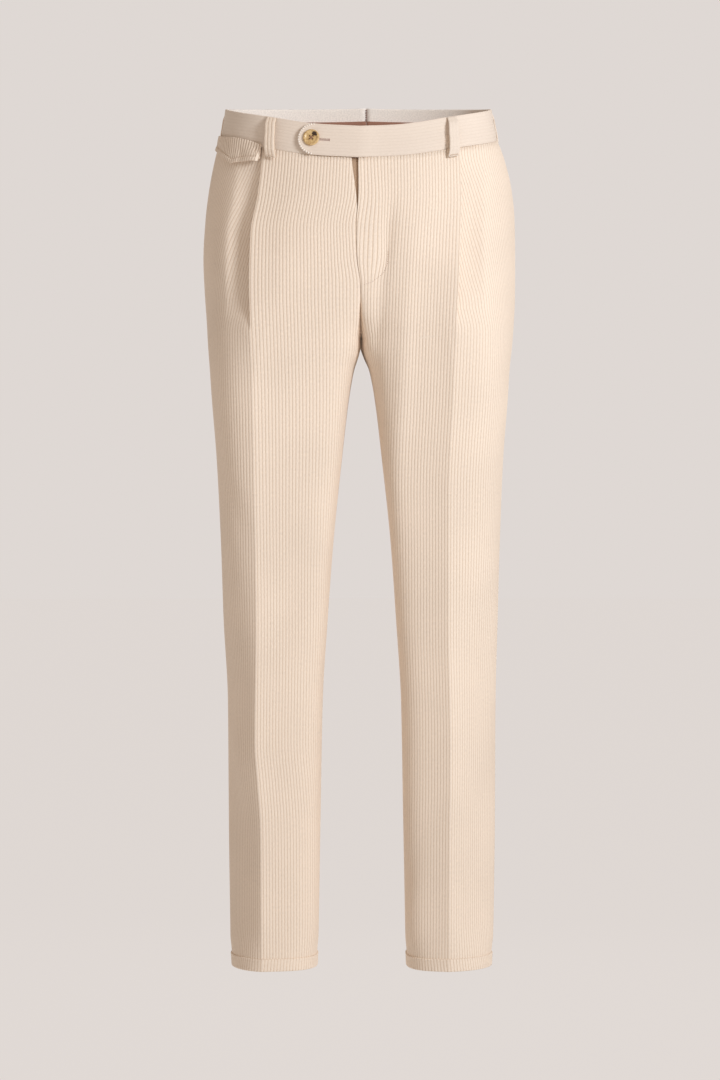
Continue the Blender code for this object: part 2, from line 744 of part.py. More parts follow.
BUTTON_RADIUS = 10.0
BUTTON_THICKNESS = 3.4
BUTTON_ALONG = 57.5
BUTTON_HOLE_RADIUS = 1.1
BUTTON_HOLE_OFFSET = 1.9
BUTTON_STAND_OFF = 0.35
HORN = (0.55, 0.36, 0.14)
# From the middle of the front face, over the rim and round to the middle of the back: radius and height.
BUTTON_PROFILE = ((0, 2.0), (5.6, 2.0), (6.6, 2.6), (7.6, 3.3), (8.7, 3.4), (9.7, 2.8), (10.0, 1.8), (9.4, 0.7),
                  (7.5, 0.0), (0, 0.0))
BUTTON_SIDES = 28


def turned(name, profile, sides, colour, roughness):
    """A turned piece: the profile from the top middle down its outer side, screwed round Z, in millimetres."""
    mesh = bpy.data.meshes.new(name)
    mesh.from_pydata([(r * MM, 0, h * MM) for r, h in profile], [(i, i + 1) for i in range(len(profile) - 1)], [])
    part = bpy.data.objects.new(name, mesh)
    PIECES.objects.link(part)
    screw = part.modifiers.new("turn", "SCREW")
    screw.steps = screw.render_steps = sides
    screw.use_merge_vertices = True
    screw.merge_threshold = 0.00001
    return part


def cut_hole(part, x, y, radius, height):
    """Cuts a round hole through a piece along its own Z."""
    build = bmesh.new()
    bmesh.ops.create_cone(build, cap_ends=True, segments=10, radius1=radius * MM, radius2=radius * MM, depth=4 * height * MM)
    mesh = bpy.data.meshes.new(part.name + "_cutter")
    build.to_mesh(mesh)
    build.free()
    cutter = bpy.data.objects.new(mesh.name, mesh)
    CUTTERS.objects.link(cutter)
    cutter.location = (x * MM, y * MM, 0)
    cutter.parent = part
    cutter.hide_render = True
    cutter.display_type = "WIRE"
    cut = part.modifiers.new("hole", "BOOLEAN")
    cut.operation, cut.solver, cut.object = "DIFFERENCE", "EXACT", cutter


def add_button():
    """The waistband's button, flat on the tab, with four thread holes."""
    part = turned("button", BUTTON_PROFILE, BUTTON_SIDES, HORN, 0.3)
    for x in (-1, 1):
        for y in (-1, 1):
            cut_hole(part, x * BUTTON_HOLE_OFFSET, y * BUTTON_HOLE_OFFSET, BUTTON_HOLE_RADIUS, BUTTON_THICKNESS)
    material = bpy.data.materials.new("button")
    material.use_nodes = True
    shader = material.node_tree.nodes["Principled BSDF"]
    shader.inputs["Base Color"].default_value = (*HORN, 1)
    shader.inputs["Roughness"].default_value = 0.3
    part.data.materials.append(material)
    z = waist_height(BUTTON_ALONG / WAIST_HALF[RIGHT]) - BAND_HEIGHT / 2
    found, out = base_point(RIGHT, BUTTON_ALONG, z)
    above, below = base_point(RIGHT, BUTTON_ALONG, z + 15)[0], base_point(RIGHT, BUTTON_ALONG, z - 15)[0]
    up = Vector((*(above - below), 30)).normalized()
    facing = Vector((*out, 0))
    facing = (facing - up * facing.dot(up)).normalized()
    lift = BAND_PROUD + SEAM_GAP + TAB_THICKNESS + BUTTON_STAND_OFF
    axes = Matrix((up.cross(facing), up, facing)).transposed().to_4x4()
    middle = Vector((*found, z)) + facing * lift
    part.matrix_world = Matrix.Translation(middle * MM) @ axes
    return part


def build():
    """Makes every piece."""
    for side in (RIGHT, LEFT):
        name = SIDE_NAMES[side]
        front_outer, front_inner = front_grid(side)
        back_outer, back_inner = back_grid(side)
        wall("front_" + name, front_outer, front_inner, CREAM)
        wall("back_" + name, back_outer, back_inner, CREAM)
        wall("turn_up_" + name, *turn_up_grids(side, front_outer, back_outer), CREAM, closed=True)
        wall("waist_lining_" + name, *lining_grids(side), ROSE)
    wall("waistband_right", *band_grids(band_columns(RIGHT)), CREAM)
    wall("waistband_left", *band_grids(left_band_columns()), CREAM)
    wall("fly_shield", *shield_grids(), CREAM)
    wall("coin_flap", *flap_grids(), CREAM)
    for side, where, distance, lean in LOOPS:
        wall(f"belt_loop_{where}_{SIDE_NAMES[side]}", *loop_grids(side, where, distance, lean), CREAM)
    add_button()


for old in list(bpy.data.objects):
    bpy.data.objects.remove(old)
PIECES = bpy.data.collections.new("corduroy_trousers")
CUTTERS = bpy.data.collections.new("cutters")
for collection in (PIECES, CUTTERS):
    bpy.context.scene.collection.children.link(collection)
build()
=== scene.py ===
"""Corduroy trousers, filled out as if worn: cream wide-wale cotton, pleated in front, with a buttoned tab.

The wearer's front faces -Y, the wearer's left is +X and +Z is up. The origin is the middle of the waist.
Tables and sizes are in millimetres, and the studio's are in metres."""

import math

import bmesh
import bpy
import numpy as np
from mathutils import Matrix, Vector


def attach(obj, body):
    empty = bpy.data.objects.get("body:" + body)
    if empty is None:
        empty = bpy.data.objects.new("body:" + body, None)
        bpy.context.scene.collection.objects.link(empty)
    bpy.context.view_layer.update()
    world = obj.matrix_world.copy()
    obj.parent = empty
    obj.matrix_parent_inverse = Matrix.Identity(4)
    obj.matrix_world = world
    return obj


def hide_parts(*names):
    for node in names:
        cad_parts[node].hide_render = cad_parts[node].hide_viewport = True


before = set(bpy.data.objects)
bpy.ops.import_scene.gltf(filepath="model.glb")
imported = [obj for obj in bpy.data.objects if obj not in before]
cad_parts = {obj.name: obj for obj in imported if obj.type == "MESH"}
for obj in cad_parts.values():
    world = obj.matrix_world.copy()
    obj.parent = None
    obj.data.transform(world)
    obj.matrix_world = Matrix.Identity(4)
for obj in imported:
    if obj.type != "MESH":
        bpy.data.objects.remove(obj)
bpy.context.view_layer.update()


# Fronts
#
# The two fronts are cut from cream cotton corduroy, with its wales running down. Each has one reverse
# pleat, three layers folded together under the waistband, whose edge runs on down the leg as a pressed
# crease. The fronts hang from the waistband and are seamed to the backs at the side and inseam.

MM = 0.001
RIGHT, LEFT = -1, 1
SIDE_NAMES = {RIGHT: "right", LEFT: "left"}

INSEAM = 761.5
CROTCH_DROP = 269.5
HEM = -(CROTCH_DROP + INSEAM)
CLOTH = 1.4
SEAM_GAP = 0.05
BAND_HEIGHT = 38.0


def table(columns, *rows):
    """A short table as a dict of arrays, one for each named column."""
    return {name: np.array(values, float) for name, values in zip(columns.split(), zip(*rows))}


# How far the worn shape's outer edge lies from the middle.
OUTLINE = table(
    "z right left",
    (60, 161.5, 157.5),
    (18, 164.2, 160.5),
    (-19, 170.6, 168.0),
    (-31, 174.8, 173.2),
    (-43, 178.0, 177.3),
    (-80, 185.3, 186.3),
    (-116, 189.8, 190.0),
    (-165, 192.5, 190.8),
    (-215, 190.3, 190.5),
    (-240, 188.4, 189.2),
    (-270, 186.5, 186.9),
    (-301, 184.0, 183.4),
    (-338, 181.3, 181.0),
    (-412, 175.3, 175.3),
    (-510, 170.4, 171.4),
    (-608, 167.3, 168.9),
    (-707, 162.4, 166.8),
    (-854, 161.5, 166.2),
    (-950, 160.1, 164.9),
    (HEM + 24, 159.0, 163.2),
    (HEM + 15, 157.2, 161.4),
    (HEM, 156.2, 160.8),
)

# How far the inner side of each leg lies from the middle.
INNER_LEG = table(
    "z right left",
    (60, SEAM_GAP / 2, SEAM_GAP / 2),
    (-CROTCH_DROP, SEAM_GAP / 2, SEAM_GAP / 2),
    (-285, 2.4, 4.4),
    (-301, 7.4, 11.4),
    (-338, 13.9, 18.4),
    (-412, 22.5, 27.2),
    (-510, 32.5, 37.5),
    (-608, 39.8, 44.4),
    (-707, 45.9, 50.6),
    (-854, 48.7, 53.3),
    (-950, 50.3, 55.1),
    (HEM + 24, 51.5, 56.2),
    (HEM + 15, 53.0, 57.6),
    (HEM, 53.5, 58.2),
)

# The pleat's folded edge and the front crease, from the middle.
CREASE = table(
    "z right left",
    (60, 112.0, 114.0),
    (-43, 116.8, 119.3),
    (-98, 122.3, 120.5),
    (-141, 129.5, 118.8),
    (-215, 131.2, 116.4),
    (-338, 128.3, 111.7),
    (-461, 126.4, 106.6),
    (-608, 124.6, 106.7),
    (-756, 126.0, 109.4),
    (-805, 122.4, 109.4),
    (-854, 119.4, 108.6),
    (HEM, 118.2, 107.6),
)

# From the side: y of the front and of the back.
DEPTH = table(
    "z front back",
    (60, -96, 99),
    (18, -101, 103),
    (-19, -104, 107),
    (-43, -108, 112),
    (-116, -113, 124),
    (-190, -114, 130),
    (-240, -110, 126),
    (-270, -106, 118),
    (-338, -100, 104),
    (-412, -94, 95),
    (-510, -86, 83),
    (-608, -78, 76),
    (-707, -71, 79),
    (-805, -67, 80),
    (-904, -65, 76),
    (HEM, -66, 70),
)

# How the hips turn into two legs. Spread moves a ring's front and back points to the middle of the leg, and
# turn moves the front point on to the crease. Join is how much of the leg's inner half there is. Corner and
# side are how square the front is inside and outside its crease, and inner and outer are how far it falls
# straight back there, as a share of its depth.
PARTING = table(
    "z spread turn join corner inner side outer",
    (60, 0.0, 0.0, 0.02, 2.3, 0.0, 2.3, 0.0),
    (-80, 0.0, 0.0, 0.02, 2.3, 0.0, 2.3, 0.0),
    (-120, 0.22, 0.0, 0.06, 2.5, 0.0, 2.3, 0.0),
    (-160, 0.60, 0.0, 0.20, 2.9, 0.0, 2.3, 0.0),
    (-190, 0.84, 0.0, 0.38, 3.3, 0.0, 2.3, 0.0),
    (-223, 0.96, 0.0, 0.62, 3.8, 0.0, 2.3, 0.0),
    (-240, 0.99, 0.22, 0.78, 4.8, 0.02, 2.4, 0.02),
    (-255, 1.0, 0.42, 0.925, 6.0, 0.04, 2.5, 0.04),
    (-CROTCH_DROP, 1.0, 0.60, 1.0, 7.5, 0.06, 2.6, 0.05),
    (-338, 1.0, 1.0, 1.0, 7.0, 0.10, 2.9, 0.09),
    (-461, 1.0, 1.0, 1.0, 6.5, 0.12, 2.9, 0.12),
    (-608, 1.0, 1.0, 1.0, 6.0, 0.15, 2.5, 0.30),
    (-707, 1.0, 1.0, 1.0, 5.6, 0.17, 2.1, 0.38),
    (-854, 1.0, 1.0, 1.0, 5.4, 0.17, 1.9, 0.42),
    (HEM + 60, 1.0, 1.0, 1.0, 5.0, 0.17, 1.9, 0.40),
    (HEM + 15, 1.0, 1.0, 1.0, 3.2, 0.10, 2.1, 0.18),
    (HEM, 1.0, 1.0, 1.0, 3.0, 0.06, 2.2, 0.10),
)
OUTER_ROUND = 2.3
BACK_INNER_ROUND = 2.5
LOWER_LEG_ROUND = 2.05
KNEE_TO_THIGH = (-600, -300)
THIGH_TO_SEAT = (-420, -200)
BACK_CREASE_ON_SEAT = 0.42

# Height of the waistband's top edge, by how much of the way from centre front to centre back it is.
WAIST_LINE = table(
    "share height", (0, -16), (0.10, -13.5), (0.26, -1), (0.39, 10.5), (0.5, 20), (0.75, 32), (1, 36)
)


def smooth(values, column, at):
    """A column read at any place along the table's first one, by a cubic that never overshoots the rows."""
    keys = next(iter(values.values()))
    order = np.argsort(keys)
    x, y = keys[order], values[column][order]
    step, slope = np.diff(x), np.diff(y) / np.diff(x)
    same_way = slope[:-1] * slope[1:] > 0
    total = np.where(same_way, slope[:-1] + slope[1:], 1.0)
    middle = np.where(same_way, 2 * slope[:-1] * slope[1:] / total, 0.0)
    tangent = np.concatenate([slope[:1], middle, slope[-1:]])
    at = np.clip(at, x[0], x[-1])
    i = np.clip(np.searchsorted(x, at, side="right") - 1, 0, len(x) - 2)
    t = (at - x[i]) / step[i]
    return (
        (2 * t**3 - 3 * t**2 + 1) * y[i]
        + (t**3 - 2 * t**2 + t) * step[i] * tangent[i]
        + (3 * t**2 - 2 * t**3) * y[i + 1]
        + (t**3 - t**2) * step[i] * tangent[i + 1]
    )


def ease(low, high, value):
    """0 below low, 1 above high, and a smooth step between."""
    t = np.clip((value - low) / (high - low), 0, 1)
    return t * t * (3 - 2 * t)


QUARTER_POINTS = 96


def half_ring(side, z):
    """The ring of one half at a height: its points, and how far along it each point and the front crease,
    side seam and back crease lie."""
    name = SIDE_NAMES[side]
    outer, inner = smooth(OUTLINE, name, z), smooth(INNER_LEG, name, z)
    front, back = smooth(DEPTH, "front", z), smooth(DEPTH, "back", z)
    spread, turn, join, corner, inner_fall, side_round, outer_fall = (
        smooth(PARTING, column, z) for column in list(PARTING)[1:]
    )
    crease = smooth(CREASE, name, z)
    middle = max(spread * (outer + inner) / 2, inner + 1)
    foremost = middle + (crease - middle) * turn
    centre = (front + back) / 2
    upper = ease(*KNEE_TO_THIGH, z)
    outer_round = LOWER_LEG_ROUND + (OUTER_ROUND - LOWER_LEG_ROUND) * upper
    back_round = LOWER_LEG_ROUND + (BACK_INNER_ROUND - LOWER_LEG_ROUND) * upper
    before, after = (math.asin(join ** (exponent / 2)) for exponent in (corner, back_round))
    parts = []
    for exponent, fall, begin, end, inwards, peak, reach_y in (
        (corner, inner_fall, -before, 0.0, True, foremost, front - centre),
        (side_round, outer_fall, 0.0, math.pi / 2, False, foremost, front - centre),
        (outer_round, 0.0, math.pi / 2, math.pi, False, middle, back - centre),
        (back_round, 0.0, math.pi, math.pi + after, True, middle, back - centre),
    ):
        angle = np.linspace(begin, end, QUARTER_POINTS + 1)
        sideways = np.abs(np.sin(angle)) ** (2 / exponent)
        onwards = np.abs(np.cos(angle)) ** (2 / exponent) * (1 - fall * sideways)
        reach_x = -(peak - inner) / join if inwards else outer - peak
        parts.append(np.stack([peak + reach_x * sideways, centre + reach_y * onwards]))
    ring = np.concatenate([parts[0]] + [part[:, 1:] for part in parts[1:]], axis=1)
    along = np.concatenate([[0], np.cumsum(np.hypot(*np.diff(ring, axis=1)))])
    seam = 2 * QUARTER_POINTS
    front_crease = np.interp(crease, ring[0, : seam + 1], along[: seam + 1])
    leg_x = middle - 0.5 * (crease - middle)
    back_x = leg_x + (BACK_CREASE_ON_SEAT * outer - leg_x) * ease(*THIGH_TO_SEAT, z)
    back_crease = np.interp(-back_x, -ring[0, seam:], along[seam:])
    return ring * np.array([[side], [1]]), along, front_crease, along[seam], back_crease


RING_STEP = 3.0
RING_HEIGHTS = np.arange(60, HEM - RING_STEP, -RING_STEP)
ACROSS = np.arange(-180.0, 480.0, 1.0)


def worn_shape(side):
    """One half of the worn shape: place and outward direction at every ring height and every millimetre
    across from the front crease, and the four marks along each ring."""
    places, marks = [], {"crease": [], "seam": [], "back_crease": [], "whole": []}
    for z in RING_HEIGHTS:
        ring, along, crease, seam, back_crease = half_ring(side, z)
        at = np.clip(crease + ACROSS, 0, along[-1])
        past = crease + ACROSS - at
        ahead, behind = (np.clip(at + step, 0, along[-1]) for step in (2.0, -2.0))
        x, y = (np.interp(at, along, line) for line in ring)
        way_x, way_y = (np.interp(ahead, along, line) - np.interp(behind, along, line) for line in ring)
        size = np.hypot(way_x, way_y) * side
        x, y = x + past * way_x / size * side, y + past * way_y / size * side
        places.append(np.stack([x, y, way_y / size, -way_x / size], axis=-1))
        for name, value in zip(marks, (crease, seam, back_crease, along[-1])):
            marks[name].append(value)
    return np.array(places), {name: np.array(values) for name, values in marks.items()}


SHAPE = {side: worn_shape(side) for side in (RIGHT, LEFT)}


def mark(side, name, z):
    """How far along the ring the front crease, side seam, back crease or whole ring comes at a height."""
    return np.interp(-np.asarray(z, float), -RING_HEIGHTS, SHAPE[side][1][name])


# How far the fly's line sways from the middle to the wearer's right, and how far the facing behind it draws
# the wales of the wearer's left front outwards. The centre back seam leans a little near the waist.
FLY_SWAY = table(
    "z aside drawn",
    (-30, 0, 0),
    (-56, 2.1, 0),
    (-93, 1.8, 1.2),
    (-136, 4.3, 4.0),
    (-173, 3.6, 6.0),
    (-206, -0.7, 0),
    (-236, -0.6, 0),
    (-270, -1.4, 0),
    (-285, -0.9, 0),
    (-301, 0, 0),
)
SWAY_REACH = 28
FACING_MIDDLE = 21
FACING_HALF = 11
BACK_LEAN = 8.0
BACK_LEAN_REACH = 70

# The fork's seam draws the fronts back between the thighs, into a groove that widens downwards.
FORK_GROOVE = table(
    "z deep half_width", (-222, 0, 1.0), (-232, 4, 1.3), (-250, 7.5, 2.2), (-268, 8, 3.2), (-290, 0, 3.2)
)


def on_shape(side, across, z, lift):
    """Points moved out from the worn shape by lift. They keep to their own side of the middle."""
    across, z, lift = np.broadcast_arrays(across, z, lift)
    row = np.clip((RING_HEIGHTS[0] - z) / RING_STEP, 0, len(RING_HEIGHTS) - 1.001)
    column = np.clip(across - ACROSS[0], 0, len(ACROSS) - 1.001)
    i, j = row.astype(int), column.astype(int)
    s, t = (row - i)[..., None], (column - j)[..., None]
    places = SHAPE[side][0]
    upper = places[i, j] * (1 - t) + places[i, j + 1] * t
    lower = places[i + 1, j] * (1 - t) + places[i + 1, j + 1] * t
    found = upper * (1 - s) + lower * s
    out = found[..., 2:] / np.linalg.norm(found[..., 2:], axis=-1, keepdims=True)
    spot = found[..., :2] + out * lift[..., None]
    x = side * np.maximum(side * spot[..., 0], SEAM_GAP / 2)
    aside = smooth(FLY_SWAY, "aside", z) * np.exp(-((x / SWAY_REACH) ** 2))
    drawn = smooth(FLY_SWAY, "drawn", z) * np.exp(-(((x - FACING_MIDDLE) / FACING_HALF) ** 2))
    behind = BACK_LEAN * np.exp(-((x / BACK_LEAN_REACH) ** 2)) * ease(-150, -10, z)
    groove = smooth(FORK_GROOVE, "deep", z) * np.exp(-((x / smooth(FORK_GROOVE, "half_width", z)) ** 2))
    y = spot[..., 1] + groove * ease(-15, -50, spot[..., 1])
    return np.stack([x + np.where(y < 0, drawn - aside, behind), y, z], axis=-1)


# The pleat: how deep its fold goes under, how far its edge stands out and how far the cloth outside sinks.
PLEAT = table(
    "z depth lift sink",
    (60, 30, 1.9, 1.9),
    (-43, 30, 1.9, 1.9),
    (-90, 23, 3.0, 4.5),
    (-150, 13, 5.0, 7.0),
    (-200, 6, 5.5, 5.5),
    (-226, 3, 4.7, 3.0),
    (-262, 3, 3.5, 0.0),
    (-330, 3, 1.7, 0.0),
    (-510, 3, 1.0, 0.0),
    (-707, 3, 1.4, 0.0),
    (HEM, 3, 1.6, 0.0),
)
PLEAT_END = -226
PLEAT_FADE = 36
RIDGE_INSIDE = 30
RIDGE_OUTSIDE = 26
SINK_REACH = 34
SINK_SHIFT = 12
SINK_FULL = 1.2
NOSE = 0.95
TWO_LAYERS = 2.9
GRAIN_TURN = 0.0014
FOLD_ROOM = 0.8
LIP = 0.9
LIP_REACH = 5

# Soft folds of the filled-out cloth, as troughs (minus) and ridges (plus).
FOLDS = (
    # side, panel, across from its crease, z, half width, half length, depth, lean
    (RIGHT, "front", 44, -165, 22, 85, 3.0, -0.08),
    (RIGHT, "front", 30, -470, 20, 45, -3.0, 0.35),
    (RIGHT, "front", 28, -790, 20, 50, 3.5, 0.20),
    (RIGHT, "front", -40, -590, 24, 45, -2.5, -0.40),
    (LEFT, "front", -62, -330, 13, 170, 3.0, 0.02),
    (LEFT, "front", -97, -250, 14, 120, -4.0, 0.03),
    (LEFT, "front", 34, -300, 30, 90, 2.5, 0.00),
    (LEFT, "front", -58, -925, 16, 40, -2.0, 0.30),
    (LEFT, "front", -86, -150, 8, 42, -2.2, 0.04),
    (RIGHT, "back", 20, -235, 60, 24, -4.0, 0.10),
    (LEFT, "back", 24, -240, 55, 26, -4.0, -0.08),
    (RIGHT, "back", -18, -560, 45, 20, -3.5, 0.25),
    (LEFT, "back", 10, -585, 42, 22, -3.0, -0.20),
    (LEFT, "back", -25, -820, 30, 40, 2.5, 0.15),
)


def soft_folds(side, panel, across, z):
    """What the soft folds add at points of a panel. They die away at the centre seams."""
    total = np.zeros(np.broadcast(across, z).shape)
    for fold_side, fold_panel, at, height, half_width, half_length, depth, lean in FOLDS:
        if (fold_side, fold_panel) == (side, panel):
            sideways = (across - at - lean * (z - height)) / half_width
            total += depth * np.exp(-(sideways**2) - ((z - height) / half_length) ** 2)
    along = across + mark(side, "crease" if panel == "front" else "back_crease", z)
    return total * ease(2, 30, np.minimum(along, mark(side, "whole", z) - along))


def rolled_out(z):
    """0 where the pleat is folded, 1 where it has opened into a plain crease."""
    return ease(0, 1, (PLEAT_END - z) / PLEAT_FADE)


def front_lift(side, across, z):
    """How far the front's face stands out from the worn shape."""
    reach = np.where(across < 0, RIDGE_INSIDE, RIDGE_OUTSIDE)
    ridge = smooth(PLEAT, "lift", z) * np.clip(1 - np.abs(across) / reach, 0, 1) ** 2
    sunk = np.clip(1 - across / SINK_REACH, 0, 1) * (1 + across / SINK_SHIFT) / SINK_FULL
    outside = rolled_out(z) * ridge - smooth(PLEAT, "sink", z) * sunk
    lip = 0.0
    if side == LEFT:
        to_fly = across + mark(side, "crease", z)
        lip = LIP * np.exp(-((to_fly / LIP_REACH) ** 2)) * ease(-222, -205, z)
    return np.where(across <= 0, ridge + lip, outside) + soft_folds(side, "front", across, z)


def through_fold(cloth, knots, values):
    """Straight runs through the fold's turning points: its value at a distance across the cloth."""
    total = values[0] + np.zeros(np.shape(cloth))
    for start, end, value, next_value in zip(knots, knots[1:], values, values[1:]):
        total = total + np.clip((cloth - start) / (end - start), 0, 1) * (next_value - value)
    return total


def front_path(side, cloth, z):
    """Where the front's cloth lies at a height: cloth is the distance across the flat cloth from its pressed
    crease. It gives across, lift and how much of the wales stands there, which is none inside the fold."""
    depth, opened = smooth(PLEAT, "depth", z), rolled_out(z)
    tuck = 2 * depth
    outside = np.maximum((cloth - tuck) / (1 - GRAIN_TURN * tuck), 0.0)
    edge, behind, past = front_lift(side, 0.0 * z, z), front_lift(side, -depth, z), front_lift(side, 0.01, z)
    under = np.minimum(past, edge - TWO_LAYERS)
    knots = (-NOSE, 0.0, NOSE, depth, tuck - 1.0, tuck)
    across_turns = (-NOSE, 0.35, -NOSE, -depth, -1.2, 0.0)
    lift_turns = (edge, edge - 1.2, edge - TWO_LAYERS + 0.2, behind - TWO_LAYERS, under, past)
    inside, beyond = cloth < -NOSE, cloth > tuck
    across = np.where(inside, cloth, np.where(beyond, outside, through_fold(cloth, knots, across_turns)))
    lift = np.where(beyond, front_lift(side, outside + 0.01, z), through_fold(cloth, knots, lift_turns))
    lift = np.where(inside, front_lift(side, cloth, z), lift)
    ribbed = np.where(cloth < tuck / 2, np.clip(-cloth / NOSE, 0, 1), np.clip((cloth - tuck) / 1.5, 0, 1))
    across = across + (cloth - across) * opened
    lift = lift + (front_lift(side, cloth, z) - lift) * opened
    return across, lift, ribbed + (1 - ribbed) * opened


FLY_GAP = 8.2
FLY_TOP = -56
FLY_END = -119


def front_edges(side, z):
    """The fly or inseam edge and the side edge of the front, across from its crease on the worn shape."""
    start = np.where(z > -CROTCH_DROP, SEAM_GAP / 4, SEAM_GAP / 2)
    if side == RIGHT:
        start = start + FLY_GAP * np.clip((z - FLY_END) / (FLY_TOP - FLY_END), 0, 1)
    crease = mark(side, "crease", z)
    return start - crease, mark(side, "seam", z) - crease - SEAM_GAP / 2


def front_cut(side, z):
    """The same two edges on the flat cloth, with the cloth that the pleat takes up."""
    start, end = front_edges(side, z)
    tuck, opened = 2 * smooth(PLEAT, "depth", z), rolled_out(z)
    turned = (1 - opened) / (1 - GRAIN_TURN * tuck)
    return start, (end + turned * tuck) / (turned + opened)


# The corduroy's wales: one every 3.85 millimetres, with a narrow groove between each two.
WALE = 3.85
WALE_STEPS = np.array([0.0, 0.12, 0.35, 0.65, 0.88])
WALE_SECTION = ((*WALE_STEPS, 1.0), (-0.30, 0.06, 0.20, 0.20, 0.06, -0.30))

# How far the wales between the crease and the fly or inseam are pulled apart, and how proud the pile is.
SPREAD = table(
    "z right left",
    (-50, 1.03, 0.99),
    (-200, 1.09, 0.99),
    (-340, 1.07, 0.98),
    (-584, 0.98, 0.95),
    (HEM, 0.96, 0.95),
)
WEAR = table("z pile", (-40, 1.25), (-80, 1.0), (-330, 0.9), (-600, 0.65), (HEM + 60, 0.7), (HEM, 0.9))
OUTER_THIGH_WEAR = 0.4
ROLLED_EDGE = 0.45
ROLLED_REACH = 1.6


def wale_height(cloth):
    """How far the pile stands above or below the cloth's face. A wale's top lies on the crease."""
    return np.interp(np.mod(cloth / WALE + 0.5, 1), *WALE_SECTION)


def spread(side, cloth, z):
    return np.where(cloth < 0, smooth(SPREAD, SIDE_NAMES[side], z), 1.0)


def wale_columns(low, high):
    """Distances across the cloth at the groove, sides and top of each wale between two places."""
    wales = np.arange(math.floor(low / WALE), math.ceil(high / WALE) + 1) - 0.5
    return (wales[:, None] + WALE_STEPS).ravel() * WALE


SLOPING_ROWS = np.linspace(0, 1, 15)
LEVEL_TOP = -165
LEVEL_ROWS = np.concatenate([
    np.arange(-173, -240, -8.5),
    np.arange(-241, -302, -3.8),
    np.arange(-308, HEM + 30, -11.5),
    [HEM + 15, HEM],
])
INNER_SLOPING_ROWS = np.linspace(0, 1, 8)
INNER_LEVEL_ROWS = np.concatenate([LEVEL_ROWS[:-2][::2], LEVEL_ROWS[-2:]])


def waist_height(share):
    return smooth(WAIST_LINE, "height", share)


def hang(side, cloth_at, path, sloping, levels):
    """A grid of cloth from the waist seam to the hem. cloth_at(z) gives each column's place across the
    cloth, and path its place on the worn shape. It gives the heights, cloth_at's places and path's."""
    top = np.full(np.shape(cloth_at(np.array(-30.0))), -30.0)
    for _ in range(5):
        across = path(side, cloth_at(top), top)[0]
        share = (mark(side, "crease", top) + across) / mark(side, "whole", top)
        top = waist_height(share) - BAND_HEIGHT - SEAM_GAP
    falling = top + (LEVEL_TOP - top) * sloping[:, None]
    z = np.concatenate([falling, levels[:, None] + 0 * top])
    cloth = cloth_at(z)
    return (z, cloth, *path(side, cloth, z))


def between_rows(first, first_at, second, second_at):
    """Triangles between two lines of points, walked side by side."""
    faces, i, j = [], 0, 0
    while i < len(first) - 1 or j < len(second) - 1:
        if j == len(second) - 1 or (i < len(first) - 1 and first_at[i + 1] <= second_at[j + 1]):
            faces.append((first[i], first[i + 1], second[j]))
            i += 1
        else:
            faces.append((first[i], second[j + 1], second[j]))
            j += 1
    return [face for face in faces if len(set(face)) == 3]


def grid_faces(index):
    """Four- and three-sided faces of a grid of point numbers, in which neighbours may be the same point."""
    a, b, c, d = index[:-1, :-1], index[:-1, 1:], index[1:, 1:], index[1:, :-1]
    upper, lower = a != b, c != d
    quads = np.stack([a, b, c, d], axis=-1)[upper & lower]
    below = np.stack([a, c, d], axis=-1)[~upper & lower]
    above = np.stack([a, b, c], axis=-1)[upper & ~lower]
    return quads.tolist() + below.tolist() + above.tolist()


def add_object(name, data):
    """A mesh, light or camera put into the scene."""
    added = bpy.data.objects.new(name, data)
    bpy.context.scene.collection.objects.link(added)
    return added


def sewn_piece(name, points, faces, weave, face, backing, backed):
    """A sewn piece from points in millimetres. weave holds each point's place on the cloth, in wales. The
    backed faces show the cloth's backing."""
    used, places = np.unique(np.concatenate([np.ravel(corners) for corners in faces]), return_inverse=True)
    sizes = np.cumsum([len(corners) for corners in faces])[:-1]
    faces = [part.tolist() for part in np.split(places, sizes)]
    mesh = bpy.data.meshes.new(name)
    mesh.from_pydata((points[used] * MM).tolist(), [], faces)
    build = bmesh.new()
    build.from_mesh(mesh)
    bmesh.ops.recalc_face_normals(build, faces=build.faces)
    build.to_mesh(mesh)
    build.free()
    corners = np.zeros(len(mesh.loops), np.int32)
    mesh.loops.foreach_get("vertex_index", corners)
    layer = mesh.uv_layers.new(name="cloth")
    layer.data.foreach_set("uv", weave[used][corners].astype(np.float32).ravel())
    mesh.shade_smooth()
    mesh.materials.append(face)
    mesh.materials.append(backing)
    for polygon in mesh.polygons[backed]:
        polygon.material_index = 1
    return add_object(name, mesh)


def take_place(piece, node_name):
    """The piece goes with the trousers and takes the place of a plain solid."""
    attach(piece, "root")
    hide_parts(node_name)


